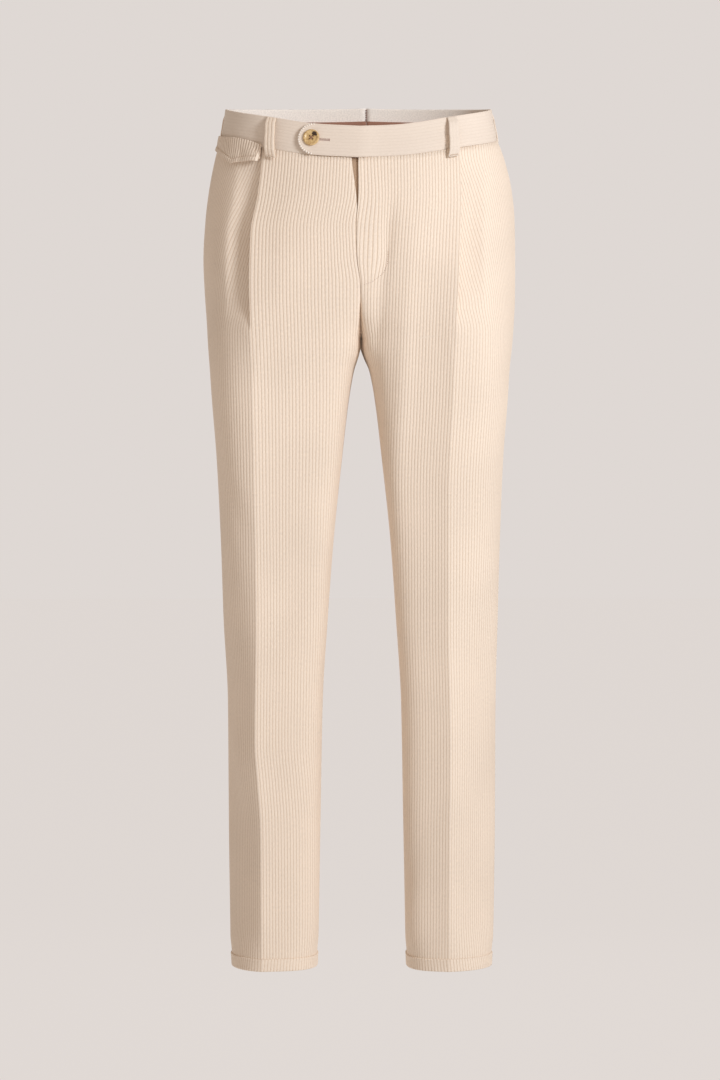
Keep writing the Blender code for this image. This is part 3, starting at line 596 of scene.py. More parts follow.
def wall(
    node_name, outer, inner, outer_weave, inner_weave, face, backing,
    slot="corduroy", index=None, outer_at=None, inner_at=None,
):
    """A closed wall of cloth between two grids of points, face and backing, joined along its four edges."""
    rows, columns = outer.shape[:2]
    index = np.arange(rows * columns).reshape(rows, columns) if index is None else index
    inside = rows * columns + np.arange(inner.shape[0] * inner.shape[1]).reshape(inner.shape[:2])
    outer_at = np.linspace(0, 1, columns) if outer_at is None else outer_at
    inner_at = np.linspace(0, 1, inner.shape[1]) if inner_at is None else inner_at
    faces = grid_faces(index)
    backed = slice(len(faces), len(faces) + len(grid_faces(inside)))
    faces += grid_faces(inside)
    for row in (0, -1):
        faces += between_rows(index[row], outer_at, inside[row], inner_at)
    for column in (0, -1):
        outer_fall, inner_fall = -outer[:, column, 2], -inner[:, column, 2]
        faces += between_rows(index[:, column], outer_fall, inside[:, column], inner_fall)
    points = np.concatenate([outer.reshape(-1, 3), inner.reshape(-1, 3)])
    weave = np.concatenate([outer_weave.reshape(-1, 2), inner_weave.reshape(-1, 2)])
    piece = sewn_piece(node_name + "_cloth", points, faces, weave, face, backing, backed)
    take_place(piece, node_name)
    return piece


def node(tree, kind, links=(), **settings):
    """A shader node with its settings. links joins its inputs, by name or number, to outputs."""
    made = tree.nodes.new("ShaderNode" + kind)
    for name, value in settings.items():
        if name.startswith("in_"):
            made.inputs[int(name[3:])].default_value = value
        else:
            setattr(made, name, value)
    for place, source in dict(links).items():
        tree.links.new(source, made.inputs[place])
    return made


def new_finish(name, roughness):
    """A material of one roughness, with its nodes and its shader."""
    material = bpy.data.materials.new(name)
    material.use_nodes = True
    shader = material.node_tree.nodes["Principled BSDF"]
    shader.inputs["Roughness"].default_value = roughness
    return material, material.node_tree, shader


def corduroy(name, face, groove, nap=0.10, sheen=0.10):
    """Cotton corduroy: a brushed pile in wales, with the groove colour mixed in as painted shade in the
    grooves between them, and a short nap that catches the light and small uneven streaks along the wales."""
    material, tree, shader = new_finish(name, 0.92)
    shader.inputs["Specular IOR Level"].default_value = 0.15
    shader.inputs["Sheen Weight"].default_value = sheen
    shader.inputs["Sheen Roughness"].default_value = 0.45
    shader.inputs["Sheen Tint"].default_value = (1.0, 0.93, 0.85, 1)
    weave = node(tree, "UVMap", uv_map="cloth").outputs[0]
    split = node(tree, "SeparateXYZ", {0: weave}).outputs
    to_groove = node(tree, "Math", {0: split[0]}, operation="PINGPONG", in_1=0.5).outputs[0]
    groove_shade_mask = node(
        tree, "MapRange", {0: to_groove}, interpolation_type="SMOOTHSTEP",
        in_1=0.02, in_2=0.20, in_3=1.0, in_4=0.0,
    ).outputs[0]
    streaks = node(tree, "VectorMath", {0: weave}, operation="MULTIPLY", in_1=(5.0, 1.1, 1.0)).outputs[0]
    pile = node(tree, "TexNoise", {0: streaks}, in_2=1.0, in_3=3.0, in_4=0.6).outputs[0]
    solid = node(tree, "TexCoord").outputs["Object"]
    patches = node(tree, "TexNoise", {0: solid}, in_2=9.0, in_3=2.0, in_4=0.5).outputs[0]
    face, groove = (*face, 1), (*groove, 1)
    # Painted shade: the groove colour is mixed in where the mask finds a groove, darkening the grooves
    # between the wales.
    ground_with_painted_shade = node(tree, "Mix", {0: groove_shade_mask}, data_type="RGBA", in_6=face, in_7=groove).outputs[2]
    tone = node(tree, "MapRange", {0: pile}, in_1=0.25, in_2=0.75, in_3=1 - nap, in_4=1 + nap).outputs[0]
    wear = node(tree, "MapRange", {0: patches}, in_1=0.3, in_2=0.7, in_3=0.965, in_4=1.03).outputs[0]
    shade = node(tree, "Math", {0: tone, 1: wear}, operation="MULTIPLY").outputs[0]
    dyed = node(tree, "VectorMath", {0: ground_with_painted_shade, 3: shade}, operation="SCALE").outputs[0]
    tree.links.new(dyed, shader.inputs["Base Color"])
    bump = node(tree, "Bump", {"Height": pile})
    bump.inputs["Strength"].default_value = 0.35
    bump.inputs["Distance"].default_value = 0.0005
    tree.links.new(bump.outputs[0], shader.inputs["Normal"])
    return material


def plain_weave(name, colour, shadow):
    """Plain-woven cotton: fine crossing threads, a little uneven."""
    material, tree, shader = new_finish(name, 0.85)
    shader.inputs["Specular IOR Level"].default_value = 0.2
    weave = node(tree, "UVMap", uv_map="cloth").outputs[0]
    threads = node(tree, "VectorMath", {0: weave}, operation="MULTIPLY", in_1=(40.0, 40.0, 1.0)).outputs[0]
    colour, shadow = (*colour, 1), (*shadow, 1)
    checks = node(tree, "TexChecker", {0: threads}, in_1=colour, in_2=shadow, in_3=1.0).outputs[0]
    uneven = node(tree, "TexNoise", {0: weave}, in_2=2.0, in_3=3.0).outputs[0]
    tone = node(tree, "MapRange", {0: uneven}, in_1=0.3, in_2=0.7, in_3=0.9, in_4=1.08).outputs[0]
    dyed = node(tree, "VectorMath", {0: checks, 3: tone}, operation="SCALE").outputs[0]
    tree.links.new(dyed, shader.inputs["Base Color"])
    return material


CREAM = (0.86, 0.735, 0.61)
# The second colour is painted shade for the grooves between the wales.
CREAM_GROOVE_SHADE = (0.70, 0.55, 0.413)
cream_corduroy = corduroy("cream_corduroy", CREAM, CREAM_GROOVE_SHADE)
cream_backing = plain_weave("cream_backing", (0.84, 0.72, 0.60), (0.78, 0.66, 0.545))


def panel(node_name, side, edges, cut, path, lift_at):
    """A front or back: a ribbed face over a plain inside, from the waist seam to the hem."""
    heights = np.linspace(-60, HEM, 60)
    low, high = cut(side, heights)
    columns = wale_columns((low / spread(side, low, heights)).min(), high.max())
    z, cloth, across, lift, ribbed = hang(
        side,
        lambda z: np.clip(columns * spread(side, columns, z), *cut(side, z)),
        path,
        SLOPING_ROWS,
        LEVEL_ROWS,
    )
    low, high = cut(side, z)
    in_fork = ease(-218, -226, z) * ease(-CROTCH_DROP - 4, -CROTCH_DROP, z)
    to_edge = np.minimum(cloth - low, high - cloth)
    rolled = ROLLED_EDGE * np.exp(-((to_edge / ROLLED_REACH) ** 2)) * (1 - in_fork)
    wales = cloth / spread(side, cloth, z)
    flattened = OUTER_THIGH_WEAR * ease(0, 12, across) * ease(-400, -280, z)
    pile = smooth(WEAR, "pile", z) * (1 - in_fork * ease(6, 2, to_edge)) * (1 - flattened)
    outer = on_shape(side, across, z, lift + wale_height(wales) * ribbed * pile - rolled)
    spaced = columns * spread(side, columns, z)
    first = (spaced <= low).sum(axis=1) - 1
    last = len(columns) - (spaced >= high).sum(axis=1)
    first, last = np.maximum(first, 0), np.minimum(last, len(columns) - 1)
    column = np.clip(np.arange(len(columns)), first[:, None], last[:, None])
    index = np.arange(len(z))[:, None] * len(columns) + column
    outer_weave = np.stack([wales / WALE + 0.5, z / WALE], axis=-1)

    shares = np.linspace(0, 1, 45)
    inner_z, inner_across = hang(
        side,
        lambda z: edges(side, z)[0] + (edges(side, z)[1] - edges(side, z)[0]) * shares,
        lambda side, across, z: (across,),
        INNER_SLOPING_ROWS,
        INNER_LEVEL_ROWS,
    )[:2]
    inner = on_shape(side, inner_across, inner_z, lift_at(side, inner_across, inner_z))
    inner_weave = np.stack([inner_across / WALE + 0.5, inner_z / WALE], axis=-1)
    return wall(
        node_name, outer, inner, outer_weave, inner_weave, cream_corduroy, cream_backing,
        index=index, outer_at=np.maximum.accumulate(across[0]), inner_at=inner_across[0],
    )


def inside_front(side, across, z):
    """The front's inside: under the pleat's three layers high up, a cloth's thickness further down."""
    folded = 1 - rolled_out(z)
    depth = smooth(PLEAT, "depth", z)
    under_fold = ease(-depth - 12, -depth, across) * (1 - ease(2, 14, across)) * folded
    face = front_lift(side, across, z)
    step = ease(-12, 0, across) * (1 - ease(0, 1, across)) * folded * smooth(PLEAT, "sink", z) / SINK_FULL
    return face - CLOTH - (2 * CLOTH + FOLD_ROOM) * under_fold - step


for side, side_name in SIDE_NAMES.items():
    front = panel("front_" + side_name, side, front_edges, front_cut, front_path, inside_front)


# Backs
#
# The two backs are cut from the same corduroy, fuller at the seat, and seamed to the fronts and to each
# other. The wales run down along the back crease to the hem and slant into the centre back seam.

BACK_CREASE = table("z height", (60, 0), (-270, 0), (-380, 3.0), (-608, 5.0), (HEM, 5.5))


def back_lift(side, across, z):
    """How far the back's face stands out from the worn shape; across is measured from the back crease."""
    ridge = smooth(BACK_CREASE, "height", z) * np.clip(1 - np.abs(across) / RIDGE_INSIDE, 0, 1) ** 2
    return ridge + soft_folds(side, "back", across, z)


def to_back_crease(side, z):
    return mark(side, "back_crease", z) - mark(side, "crease", z)


def back_cut(side, z):
    """The side edge and the centre back or inseam edge, across from the back crease."""
    crease = mark(side, "back_crease", z)
    gap = np.where(z < -CROTCH_DROP, SEAM_GAP / 2, SEAM_GAP / 4)
    return mark(side, "seam", z) + SEAM_GAP / 2 - crease, mark(side, "whole", z) - crease - gap


def back_edges(side, z):
    return tuple(edge + to_back_crease(side, z) for edge in back_cut(side, z))


def back_path(side, cloth, z):
    return cloth + to_back_crease(side, z), back_lift(side, cloth, z), 1.0


def inside_back(side, across, z):
    return back_lift(side, across - to_back_crease(side, z), z) - CLOTH


for side, side_name in SIDE_NAMES.items():
    back = panel("back_" + side_name, side, back_edges, back_cut, back_path, inside_back)


# Fly shield
#
# A strip behind the fly, sewn to the wearer's right front. A wedge of it shows where the fly stands open
# under the tab, and its dark tan colour is painted shade for that wedge.

SHIELD_REACH = (-18.0, 22.0)
SHIELD_HEIGHTS = np.linspace(-54.8, -200, 20)
SHIELD_LIFT = -(CLOTH + 0.9)
SHIELD_PILE = 0.2


def on_middle(x, z, lift):
    """Points near the centre front, by how far to the wearer's left of it they lie."""
    points = np.zeros((*np.broadcast(x, z, lift).shape, 3))
    for side in (RIGHT, LEFT):
        here = np.broadcast_to(np.sign(x) == side, points.shape[:-1])
        across = np.abs(x) - mark(side, "crease", z)
        points[here] = on_shape(side, across, z, lift + soft_folds(side, "front", across, z))[here]
    return points


x = wale_columns(*SHIELD_REACH)
x = x[(x > SHIELD_REACH[0]) & (x < SHIELD_REACH[1])]
z = SHIELD_HEIGHTS[:, None] + 0 * x
outer = on_middle(x, z, SHIELD_LIFT + wale_height(x) * SHIELD_PILE + 0 * z)
inner_x = np.linspace(*SHIELD_REACH, 11)
inner = on_middle(inner_x, SHIELD_HEIGHTS[:, None] + 0 * inner_x, SHIELD_LIFT - CLOTH + 0 * inner_x)
weave = np.stack([x / WALE + 0.5 + 0 * z, z / WALE], axis=-1)
inner_weave = np.stack([inner_x / WALE + 0 * inner[..., 2], inner[..., 2] / WALE], axis=-1)
# The shield's dark tan is painted shade: it stands in for the shade inside the fly's open wedge.
painted_shade_tan = plain_weave("painted_shade_tan", (0.50, 0.345, 0.23), (0.44, 0.30, 0.20))
shield = wall("fly_shield", outer, inner, weave, inner_weave, painted_shade_tan, painted_shade_tan)


# Coin pocket flap
#
# A small pointed flap of corduroy on the wearer's right, caught in the waist seam over the coin pocket. It
# has a turned edge with one row of stitching, and it lifts a little at the free edge.

FLAP = table(
    "across rise drop",
    (1.2, 3.6, 12.5),
    (3.4, 4.0, 17.4),
    (14, 6.3, 18.4),
    (24, 7.4, 20.2),
    (33.5, 8.0, 22.2),
    (42.5, 8.0, 24.9),
    (52, 7.6, 21.4),
    (61.5, 7.2, 18.4),
    (72, 6.8, 16.0),
    (82, 6.3, 14.8),
    (91, 5.8, 14.1),
    (99, 5.3, 13.6),
    (104, 5.0, 13.2),
    (107, 4.6, 11.5),
)
FLAP_START, FLAP_STOP = FLAP["across"][[0, -1]]
FLAP_THICKNESS = 1.6
FLAP_EDGE = 0.9
FLAP_GAP = 0.9
FLAP_LIFT_OFF = 1.4
FLAP_ON_BAND = 1.9
FLAP_RAISED_END = 3.4
FLAP_RIM = 5.0
FLAP_SLOPE = 0.94
FLAP_WALES_TURN = (0.0055, -0.25)
FLAP_ROWS = np.concatenate([
    np.linspace(0, 0.7, 12),
    np.linspace(0.7, 0.95, 11)[1:],
    [0.965, 0.98, 0.99, 1.0],
])


def flap_at(across, share):
    """The flap from its top edge (0) to its free edge (1): height, depth from the top, lift and distance in
    from the stitched edges."""
    rise, drop = (np.interp(across, FLAP["across"], FLAP[item]) for item in ("rise", "drop"))
    seam = -30.0 + 0 * across
    for _ in range(5):
        round_waist = (mark(RIGHT, "crease", seam) + across) / mark(RIGHT, "whole", seam)
        seam = waist_height(round_waist) - BAND_HEIGHT
    depth = (rise + drop) * share
    z = seam + rise - depth
    below = np.maximum(depth - rise, 0)
    from_end = np.minimum(across - FLAP_START, FLAP_STOP - across)
    inwards = np.minimum((rise + drop - depth) * FLAP_SLOPE, from_end)
    free = 1 - ease(45, 85, across)
    hanging = np.maximum(front_lift(RIGHT, across, z), -0.4) + FLAP_GAP * (0.7 + 0.3 * free)
    hanging = hanging + FLAP_LIFT_OFF * free * below / drop
    lift = FLAP_ON_BAND + (hanging - FLAP_ON_BAND) * ease(1.2, 7, below)
    raised = FLAP_RAISED_END * ease(1.2, 7.5, across) * ease(34, 9, across) * ease(0, 8, below)
    return z, depth, lift + raised, inwards


def rounded_edge(inwards, reach):
    """How much of its full thickness a piece has near its edge, from 0 at the edge to 1 at reach from it."""
    return np.sqrt(1 - np.clip(1 - inwards / reach, 0, 1) ** 2)


across = np.unique(np.concatenate([wale_columns(4, 105)[3:], FLAP["across"], [1.5, 1.9, 2.4, 106.2, 106.7]]))
z, depth, lift, inwards = flap_at(across, FLAP_ROWS[:, None])
rounded = rounded_edge(inwards, FLAP_EDGE)
in_rim = ease(FLAP_RIM + 0.5, FLAP_RIM - 0.8, inwards)
rim = 0.9 * in_rim - 0.9 * np.exp(-(((inwards - FLAP_RIM - 0.6) / 0.8) ** 2))
cloth = across + (FLAP_WALES_TURN[0] * across + FLAP_WALES_TURN[1]) * depth
ribs = wale_height(cloth) * (1.7 - in_rim)
outer = on_shape(RIGHT, across, z, lift + 0.5 + (FLAP_THICKNESS - 0.5) * rounded + (ribs + rim) * rounded)
inner_across = np.linspace(FLAP_START, FLAP_STOP, 30)
inner_z, _, inner_lift, _ = flap_at(inner_across, np.linspace(0, 1, 8)[:, None])
inner = on_shape(RIGHT, inner_across, inner_z, inner_lift)
weave = np.stack([cloth / WALE + 0.5, z / WALE], axis=-1)
inner_weave = np.stack([inner_across / WALE + 0 * inner_z, inner_z / WALE], axis=-1)
# The flap's darker groove colour is painted shade between its wales.
flap_corduroy = corduroy("flap_corduroy", CREAM, (0.52, 0.39, 0.285))
flap = wall(
    "coin_flap", outer, inner, weave, inner_weave, flap_corduroy, cream_backing,
    outer_at=across, inner_at=inner_across,
)


# Waistband
#
# Two halves of corduroy over a firm interlining, with the wales running round the waist and pressed nearly
# flat. They are faced with smooth cream cotton and sewn to the tops of the panels and to each other at the
# centre back. The left half runs on past the fly as a tab with a full round end.

BAND_THICKNESS = 3.0
BAND_PROUD = 1.5
BAND_COLUMNS = 70
TAB_REACH = 72.0
TAB_THICKNESS = 2.6
TAB_RISE = 26.0
UNDER_TAB = 0.3
TAB_END_LIFT = 2.0
TAB_SCALLOP = 1.6
TURNED_EDGE = 1.5
SEAM_SINK = 1.3
BAND_PILE = 0.2
TAB_FACE = BAND_PROUD + UNDER_TAB + TAB_THICKNESS
RADIUS = BAND_HEIGHT / 2
WAIST_HALF = {side: float(mark(side, "whole", -RADIUS)) for side in (RIGHT, LEFT)}
BAND_DOWNS = np.unique(np.concatenate([wale_columns(1, 36), [0, 0.15, 0.5, 1.0, 37.0, 37.5, 37.85, 38]]))
BAND_DOWNS = BAND_DOWNS[(BAND_DOWNS >= 0) & (BAND_DOWNS <= BAND_HEIGHT)][:, None]


def on_band(side, along, down, lift):
    """Points of the waistband, by how far round from the centre front and how far down from its top."""
    share = along / WAIST_HALF[side]
    z = waist_height(share) - down
    return on_shape(side, share * mark(side, "whole", z) - mark(side, "crease", z), z, lift)


def band_faces(side, along, low, thickness, inwards):
    """The outer and inner points of a stretch of the band, and their places on the cloth."""
    down = BAND_DOWNS + 0 * along
    half = thickness / 2 * (0.3 + 0.7 * rounded_edge(inwards, TURNED_EDGE))
    middle = low + thickness / 2 - SEAM_SINK * ease(26, BAND_HEIGHT, down)
    relief = BAND_PILE * wale_height(down) * np.clip(inwards, 0, 1)
    outer = on_band(side, along, down, middle + half + relief)
    inner = on_band(side, along, down, middle - half)
    return outer, inner, np.stack([down / WALE + 0.5, side * along / WALE], axis=-1)


def band_half(side):
    """From centre back to centre front. The left half's front end rises to lie over the right half."""
    along = np.linspace(1, 0, BAND_COLUMNS) * (WAIST_HALF[side] - SEAM_GAP)
    low, thickness = BAND_PROUD - BAND_THICKNESS + 0 * along, BAND_THICKNESS + 0 * along
    if side == LEFT:
        risen = ease(0, 1, 1 - along / TAB_RISE)
        low = low + (BAND_PROUD + UNDER_TAB - low) * risen
        thickness = thickness + (TAB_THICKNESS - BAND_THICKNESS) * risen
    inwards = np.minimum(BAND_DOWNS, 2.2 * (BAND_HEIGHT - BAND_DOWNS)) + 0 * along
    return band_faces(side, along + 0 * BAND_DOWNS, low, thickness, inwards)


def tab():
    """The tab, over the right half. Its wales end at the round end, which they leave a little scalloped."""
    straight = TAB_REACH - RADIUS
    across_tab = BAND_DOWNS - RADIUS
    reach = straight + np.sqrt(np.maximum(RADIUS**2 - across_tab**2, 0))
    reach = reach + TAB_SCALLOP * wale_height(BAND_DOWNS) * ease(straight, TAB_REACH, reach)
    plain = np.linspace(0.02, 1, 22) * (reach - 3)
    rim = reach - np.array([2.2, 1.5, 1.0, 0.6, 0.3, 0.1, 0.0])
    along = np.concatenate([plain, rim], axis=1)
    flat_inwards = RADIUS - np.abs(across_tab) + 0 * along
    inwards = np.where(along < straight, flat_inwards, RADIUS - np.hypot(along - straight, across_tab))
    inwards = np.minimum(np.maximum(inwards, 0), reach - along + np.maximum(0, straight - along))
    low = BAND_PROUD + UNDER_TAB + TAB_END_LIFT * ease(straight, TAB_REACH, along)
    return band_faces(RIGHT, along, low, TAB_THICKNESS, inwards)


# The band's second colour is a faint painted shade in the grooves between its wales.
band_corduroy = corduroy("band_corduroy", (0.775, 0.668, 0.566), (0.745, 0.638, 0.536), nap=0.05, sheen=0.32)
band_facing = plain_weave("band_facing", (0.95, 0.88, 0.80), (0.93, 0.855, 0.775))

for side, side_name in SIDE_NAMES.items():
    parts = [band_half(side)] + ([tab()] if side == LEFT else [])
    outer, inner, weave = (np.concatenate(group, axis=1) for group in zip(*parts))
    band = wall("waistband_" + side_name, outer, inner, weave, weave, band_corduroy, band_facing)


# Waist lining
#
# A rose-brown strip of plain-woven cotton that faces the inside of the back of the waist, from under the
# waistband's turned top down past its seam. It is sewn in as two halves, split at the centre back so that
# the waist can be let out.

LINING_START = 0.52
LINING_FROM = 16.5
LINING_TO = 61.8
LINING_THICKNESS = 1.0
LINING_LIFT = BAND_PROUD - BAND_THICKNESS - 1.0
LINING_RIPPLE = 0.25

rose_lining = plain_weave("rose_lining", (0.37, 0.19, 0.13), (0.31, 0.155, 0.105))

for side, side_name in SIDE_NAMES.items():
    along = np.linspace(LINING_START, 1, 60) * (WAIST_HALF[side] - SEAM_GAP)
    down = np.linspace(0, 1, 14)[:, None] * (LINING_TO - LINING_FROM) + LINING_FROM + 0 * along
    ripple = LINING_RIPPLE * np.sin(along / 9 + down / 30) * ease(20, 45, down)
    outer = on_band(side, along + 0 * down, down, LINING_LIFT + 0 * along)
    inner = on_band(side, along + 0 * down, down, LINING_LIFT - LINING_THICKNESS - 0.3 + ripple)
    weave = np.stack([along / WALE + 0 * down, down / WALE], axis=-1)
    node_name = "waist_lining_" + side_name
    lining = wall(node_name, outer, inner, weave, weave, rose_lining, rose_lining, slot="waist_lining")


# Belt loops
#
# Six strips of corduroy, turned to thirteen millimetres with three wales lengthwise. Each is sewn down
# above and below the waistband and stands off it between, so that a belt goes through.

LOOP_WIDTH = 13.0
LOOP_THICKNESS = 1.8
LOOP_EDGE = 0.9
LOOP_LENGTH = 48.0
LOOP_WALES = 3
LOOP_PATH = table(
    "down stand_off",
    (0.6, 0.35),
    (3.5, 2.2),
    (8, 5.4),
    (15, 6.8),
    (29, 6.9),
    (36, 6.0),
    (42, 3.8),
    (46.5, 1.7),
    (48, 1.2),
)
LOOPS = (
    # side, where, distance, lean, how proud the wales are, share of the stand-off, step over the seam
    (RIGHT, "front", 103.3, -0.16, 0.9, 1.0, 1.4),
    (LEFT, "front", 107.5, -0.19, 0.25, 1.0, 1.4),
    (RIGHT, "side", 262.0, 0.0, 0.6, 1.0, 0.4),
    (LEFT, "side", 254.0, 0.0, 0.25, 0.75, 0.4),
    (RIGHT, "back", 45.0, 0.0, 0.6, 1.0, 0.4),
    (LEFT, "back", 45.0, 0.0, 0.6, 1.0, 0.4),
)


def loop_middle(side, where, distance):
    """How far along the waist a loop's middle lies."""
    if where == "front":
        ring, along = half_ring(side, -RADIUS)[:2]
        return float(np.interp(distance, ring[0, : 2 * QUARTER_POINTS] * side, along[: 2 * QUARTER_POINTS]))
    return distance if where == "side" else float(mark(side, "whole", -RADIUS)) - distance


def belt_loop(side, where, distance, lean, pile, share, step_up):
    """The outer and inner points of a loop, from its head to its foot, and their places on the cloth."""
    down = np.linspace(0.6, LOOP_LENGTH, 34)[:, None]
    middle = loop_middle(side, where, distance) + lean * (down - LOOP_LENGTH / 2)
    over_seam = step_up * ease(BAND_HEIGHT - 2, BAND_HEIGHT + 1, down)
    low = BAND_PROUD + smooth(LOOP_PATH, "stand_off", down) * share + over_seam
    wales = (np.arange(LOOP_WALES)[:, None] + WALE_STEPS).ravel()[1:] / LOOP_WALES
    sideways = np.concatenate([[0.02], wales, [0.98]]) - 0.5
    rounded = rounded_edge(LOOP_WIDTH * (0.5 - np.abs(sideways)), LOOP_EDGE)
    relief = pile * wale_height((sideways + 0.5) * LOOP_WALES * WALE - WALE / 2) * rounded
    face = low + 0.3 + (LOOP_THICKNESS - 0.3) * rounded + relief
    outer = on_band(side, middle + LOOP_WIDTH * sideways, down + 0 * sideways, face)
    inside = np.array([-0.5, 0.0, 0.5])
    inner = on_band(side, middle + LOOP_WIDTH * inside, down + 0 * inside, low + 0 * inside)
    weave, inner_weave = (
        np.stack([(beside + 0.5) * LOOP_WALES + 0 * down, down / WALE + 0 * beside], axis=-1)
        for beside in (sideways, inside)
    )
    return outer, inner, weave, inner_weave


for side, where, distance, lean, pile, share, step_up in LOOPS:
    shape = belt_loop(side, where, distance, lean, pile, share, step_up)
    face = cream_corduroy if pile > 0.5 else band_corduroy
    loop = wall(f"belt_loop_{where}_{SIDE_NAMES[side]}", *shape, face, cream_backing)


# Turn-ups
#
# A narrow band of the leg's own cloth, turned up over the hem and caught at the seams. Its wales slant a
# little against the leg's.

TURN_UP = 15.0
TURN_UP_THICKNESS = 1.5
TURN_UP_EDGE = 1.2
TURN_UP_PILE = 1.1
TURN_UP_RIM = 0.15
TURN_UP_SLANT = 0.10
TURN_UP_ROWS = np.array([15.0, 14.85, 14.4, 13.6, 12.8, 12.2, 10, 7, 4, 2, 0.9, 0.3, 0.0])[:, None]


def round_hem(side, heights, front_cloth, back_cloth):
    """Across and lift right round a leg near its hem, from the inseam over the front, side and back."""
    front = front_path(side, front_cloth + 0 * heights, heights + 0 * front_cloth)[:2]
    back = back_path(side, back_cloth + 0 * heights, heights + 0 * back_cloth)[:2]
    return tuple(np.concatenate(pair, axis=1) for pair in zip(front, back))


for side, side_name in SIDE_NAMES.items():
    cloths = []
    for cut in (front_cut, back_cut):
        low, high = (float(edge) for edge in cut(side, np.array(HEM)))
        cloths.append(np.unique(np.clip(wale_columns(low, high), low, high)))
    across, lift = round_hem(side, HEM + TURN_UP_ROWS, *cloths)
    heights = HEM + TURN_UP_ROWS + 0 * across
    rounded = rounded_edge(np.minimum(TURN_UP_ROWS, TURN_UP - TURN_UP_ROWS), TURN_UP_EDGE)
    rim = TURN_UP_RIM * ease(TURN_UP - 3.4, TURN_UP - 1.6, TURN_UP_ROWS) * rounded
    cloth = np.concatenate(cloths) + TURN_UP_SLANT * TURN_UP_ROWS
    relief = TURN_UP_PILE * wale_height(cloth) * rounded + rim
    face = lift + SEAM_GAP + 0.5 + (TURN_UP_THICKNESS - 0.5) * rounded + relief
    outer = on_shape(side, across, heights, face)
    some = np.s_[::4, ::5]
    inner = on_shape(side, across[some], heights[some], lift[some] + SEAM_GAP)
    weave = np.stack([cloth / WALE + 0.5, heights / WALE], axis=-1)
    turn_up = wall("turn_up_" + side_name, outer, inner, weave, weave[some], cream_corduroy, cream_backing)


# Button
#
# A four-hole horn button, twenty millimetres across, turned with a raised rim round a shallow well, mottled
# from honey to dark brown, and sewn to the right half of the waistband through the tab's buttonhole.

BUTTON_ALONG = 57.5
BUTTON_STAND_OFF = 0.35
BUTTON_SIDES = 64
HOLE_SIDES = 20
HOLE_RADIUS = 1.1
HOLE_OFFSET = 1.9

# The turned section, from the well's floor out over the rim to the flat back: radius and height.
BUTTON_PROFILE = (
    (3, 2.0),
    (5.6, 2.05),
    (6.3, 2.3),
    (6.9, 2.85),
    (7.5, 3.25),
    (8.2, 3.4),
    (8.9, 3.3),
    (9.5, 2.9),
    (9.9, 2.3),
    (10.0, 1.8),
    (9.8, 1.1),
    (9.2, 0.5),
    (7.5, 0.0),
)


def horn(name):
    """Polished horn: honey to amber, in drifting veins, with one dark brown patch."""
    material, tree, shader = new_finish(name, 0.34)
    shader.inputs["Coat Weight"].default_value = 0.15
    solid = node(tree, "TexCoord").outputs["Object"]
    veins = node(tree, "TexNoise", {0: solid}, in_2=260.0, in_3=4.0, in_4=0.6, in_8=1.4).outputs[0]
    honey = node(tree, "ValToRGB", {0: veins})
    stops = honey.color_ramp.elements
    stops[0].position, stops[0].color = 0.32, (0.40, 0.23, 0.085, 1)
    stops[1].position, stops[1].color = 0.62, (0.72, 0.51, 0.24, 1)
    patch = (0.0042, 0.0046, 0.003)
    away = node(tree, "VectorMath", {0: solid}, operation="DISTANCE", in_1=patch).outputs["Value"]
    edge = node(tree, "Math", {0: veins}, operation="MULTIPLY_ADD", in_1=0.0075, in_2=-0.001).outputs[0]
    dark = node(tree, "Math", {0: away, 1: edge}, operation="LESS_THAN").outputs[0]
    brown = (0.05, 0.025, 0.012, 1)
    mottled = node(tree, "Mix", {0: dark, 6: honey.outputs[0]}, data_type="RGBA", in_7=brown).outputs[2]
    tree.links.new(mottled, shader.inputs["Base Color"])
    return material


def add_built(name, build):
    """An object from a shape that was built up face by face."""
    mesh = bpy.data.meshes.new(name)
    build.to_mesh(mesh)
    build.free()
    return add_object(name, mesh)


turns = np.linspace(0, 2 * math.pi, BUTTON_SIDES, endpoint=False)
build = bmesh.new()
rings = []
for radius, height in BUTTON_PROFILE:
    ring = [Vector((radius * math.cos(turn), radius * math.sin(turn), height)) * MM for turn in turns]
    rings.append([build.verts.new(place) for place in ring])
for upper, lower in zip(rings, rings[1:]):
    for k in range(BUTTON_SIDES):
        build.faces.new((upper[k], lower[k], lower[k - 1], upper[k - 1]))
build.faces.new(rings[0])
build.faces.new(rings[-1][::-1])
bmesh.ops.recalc_face_normals(build, faces=build.faces)
blank = add_built("button_turned", build)

drills = []
for x, y in ((-1, -1), (1, -1), (-1, 1), (1, 1)):
    build = bmesh.new()
    radius = HOLE_RADIUS * MM
    bmesh.ops.create_cone(
        build, cap_ends=True, segments=HOLE_SIDES, radius1=radius, radius2=radius, depth=0.02
    )
    drill = add_built("drill", build)
    drill.location = (HOLE_OFFSET * MM * x, HOLE_OFFSET * MM * y, 0)
    hole = blank.modifiers.new("hole", "BOOLEAN")
    hole.operation, hole.solver, hole.object = "DIFFERENCE", "EXACT", drill
    drills.append(drill)
bpy.context.view_layer.update()
drilled = bpy.data.meshes.new_from_object(blank.evaluated_get(bpy.context.evaluated_depsgraph_get()))
for spent in (blank, *drills):
    bpy.data.objects.remove(spent)
drilled.shade_smooth()
drilled.set_sharp_from_angle(angle=math.radians(35))
drilled.materials.clear()
drilled.materials.append(horn("polished_horn"))
button = add_object("horn_button", drilled)

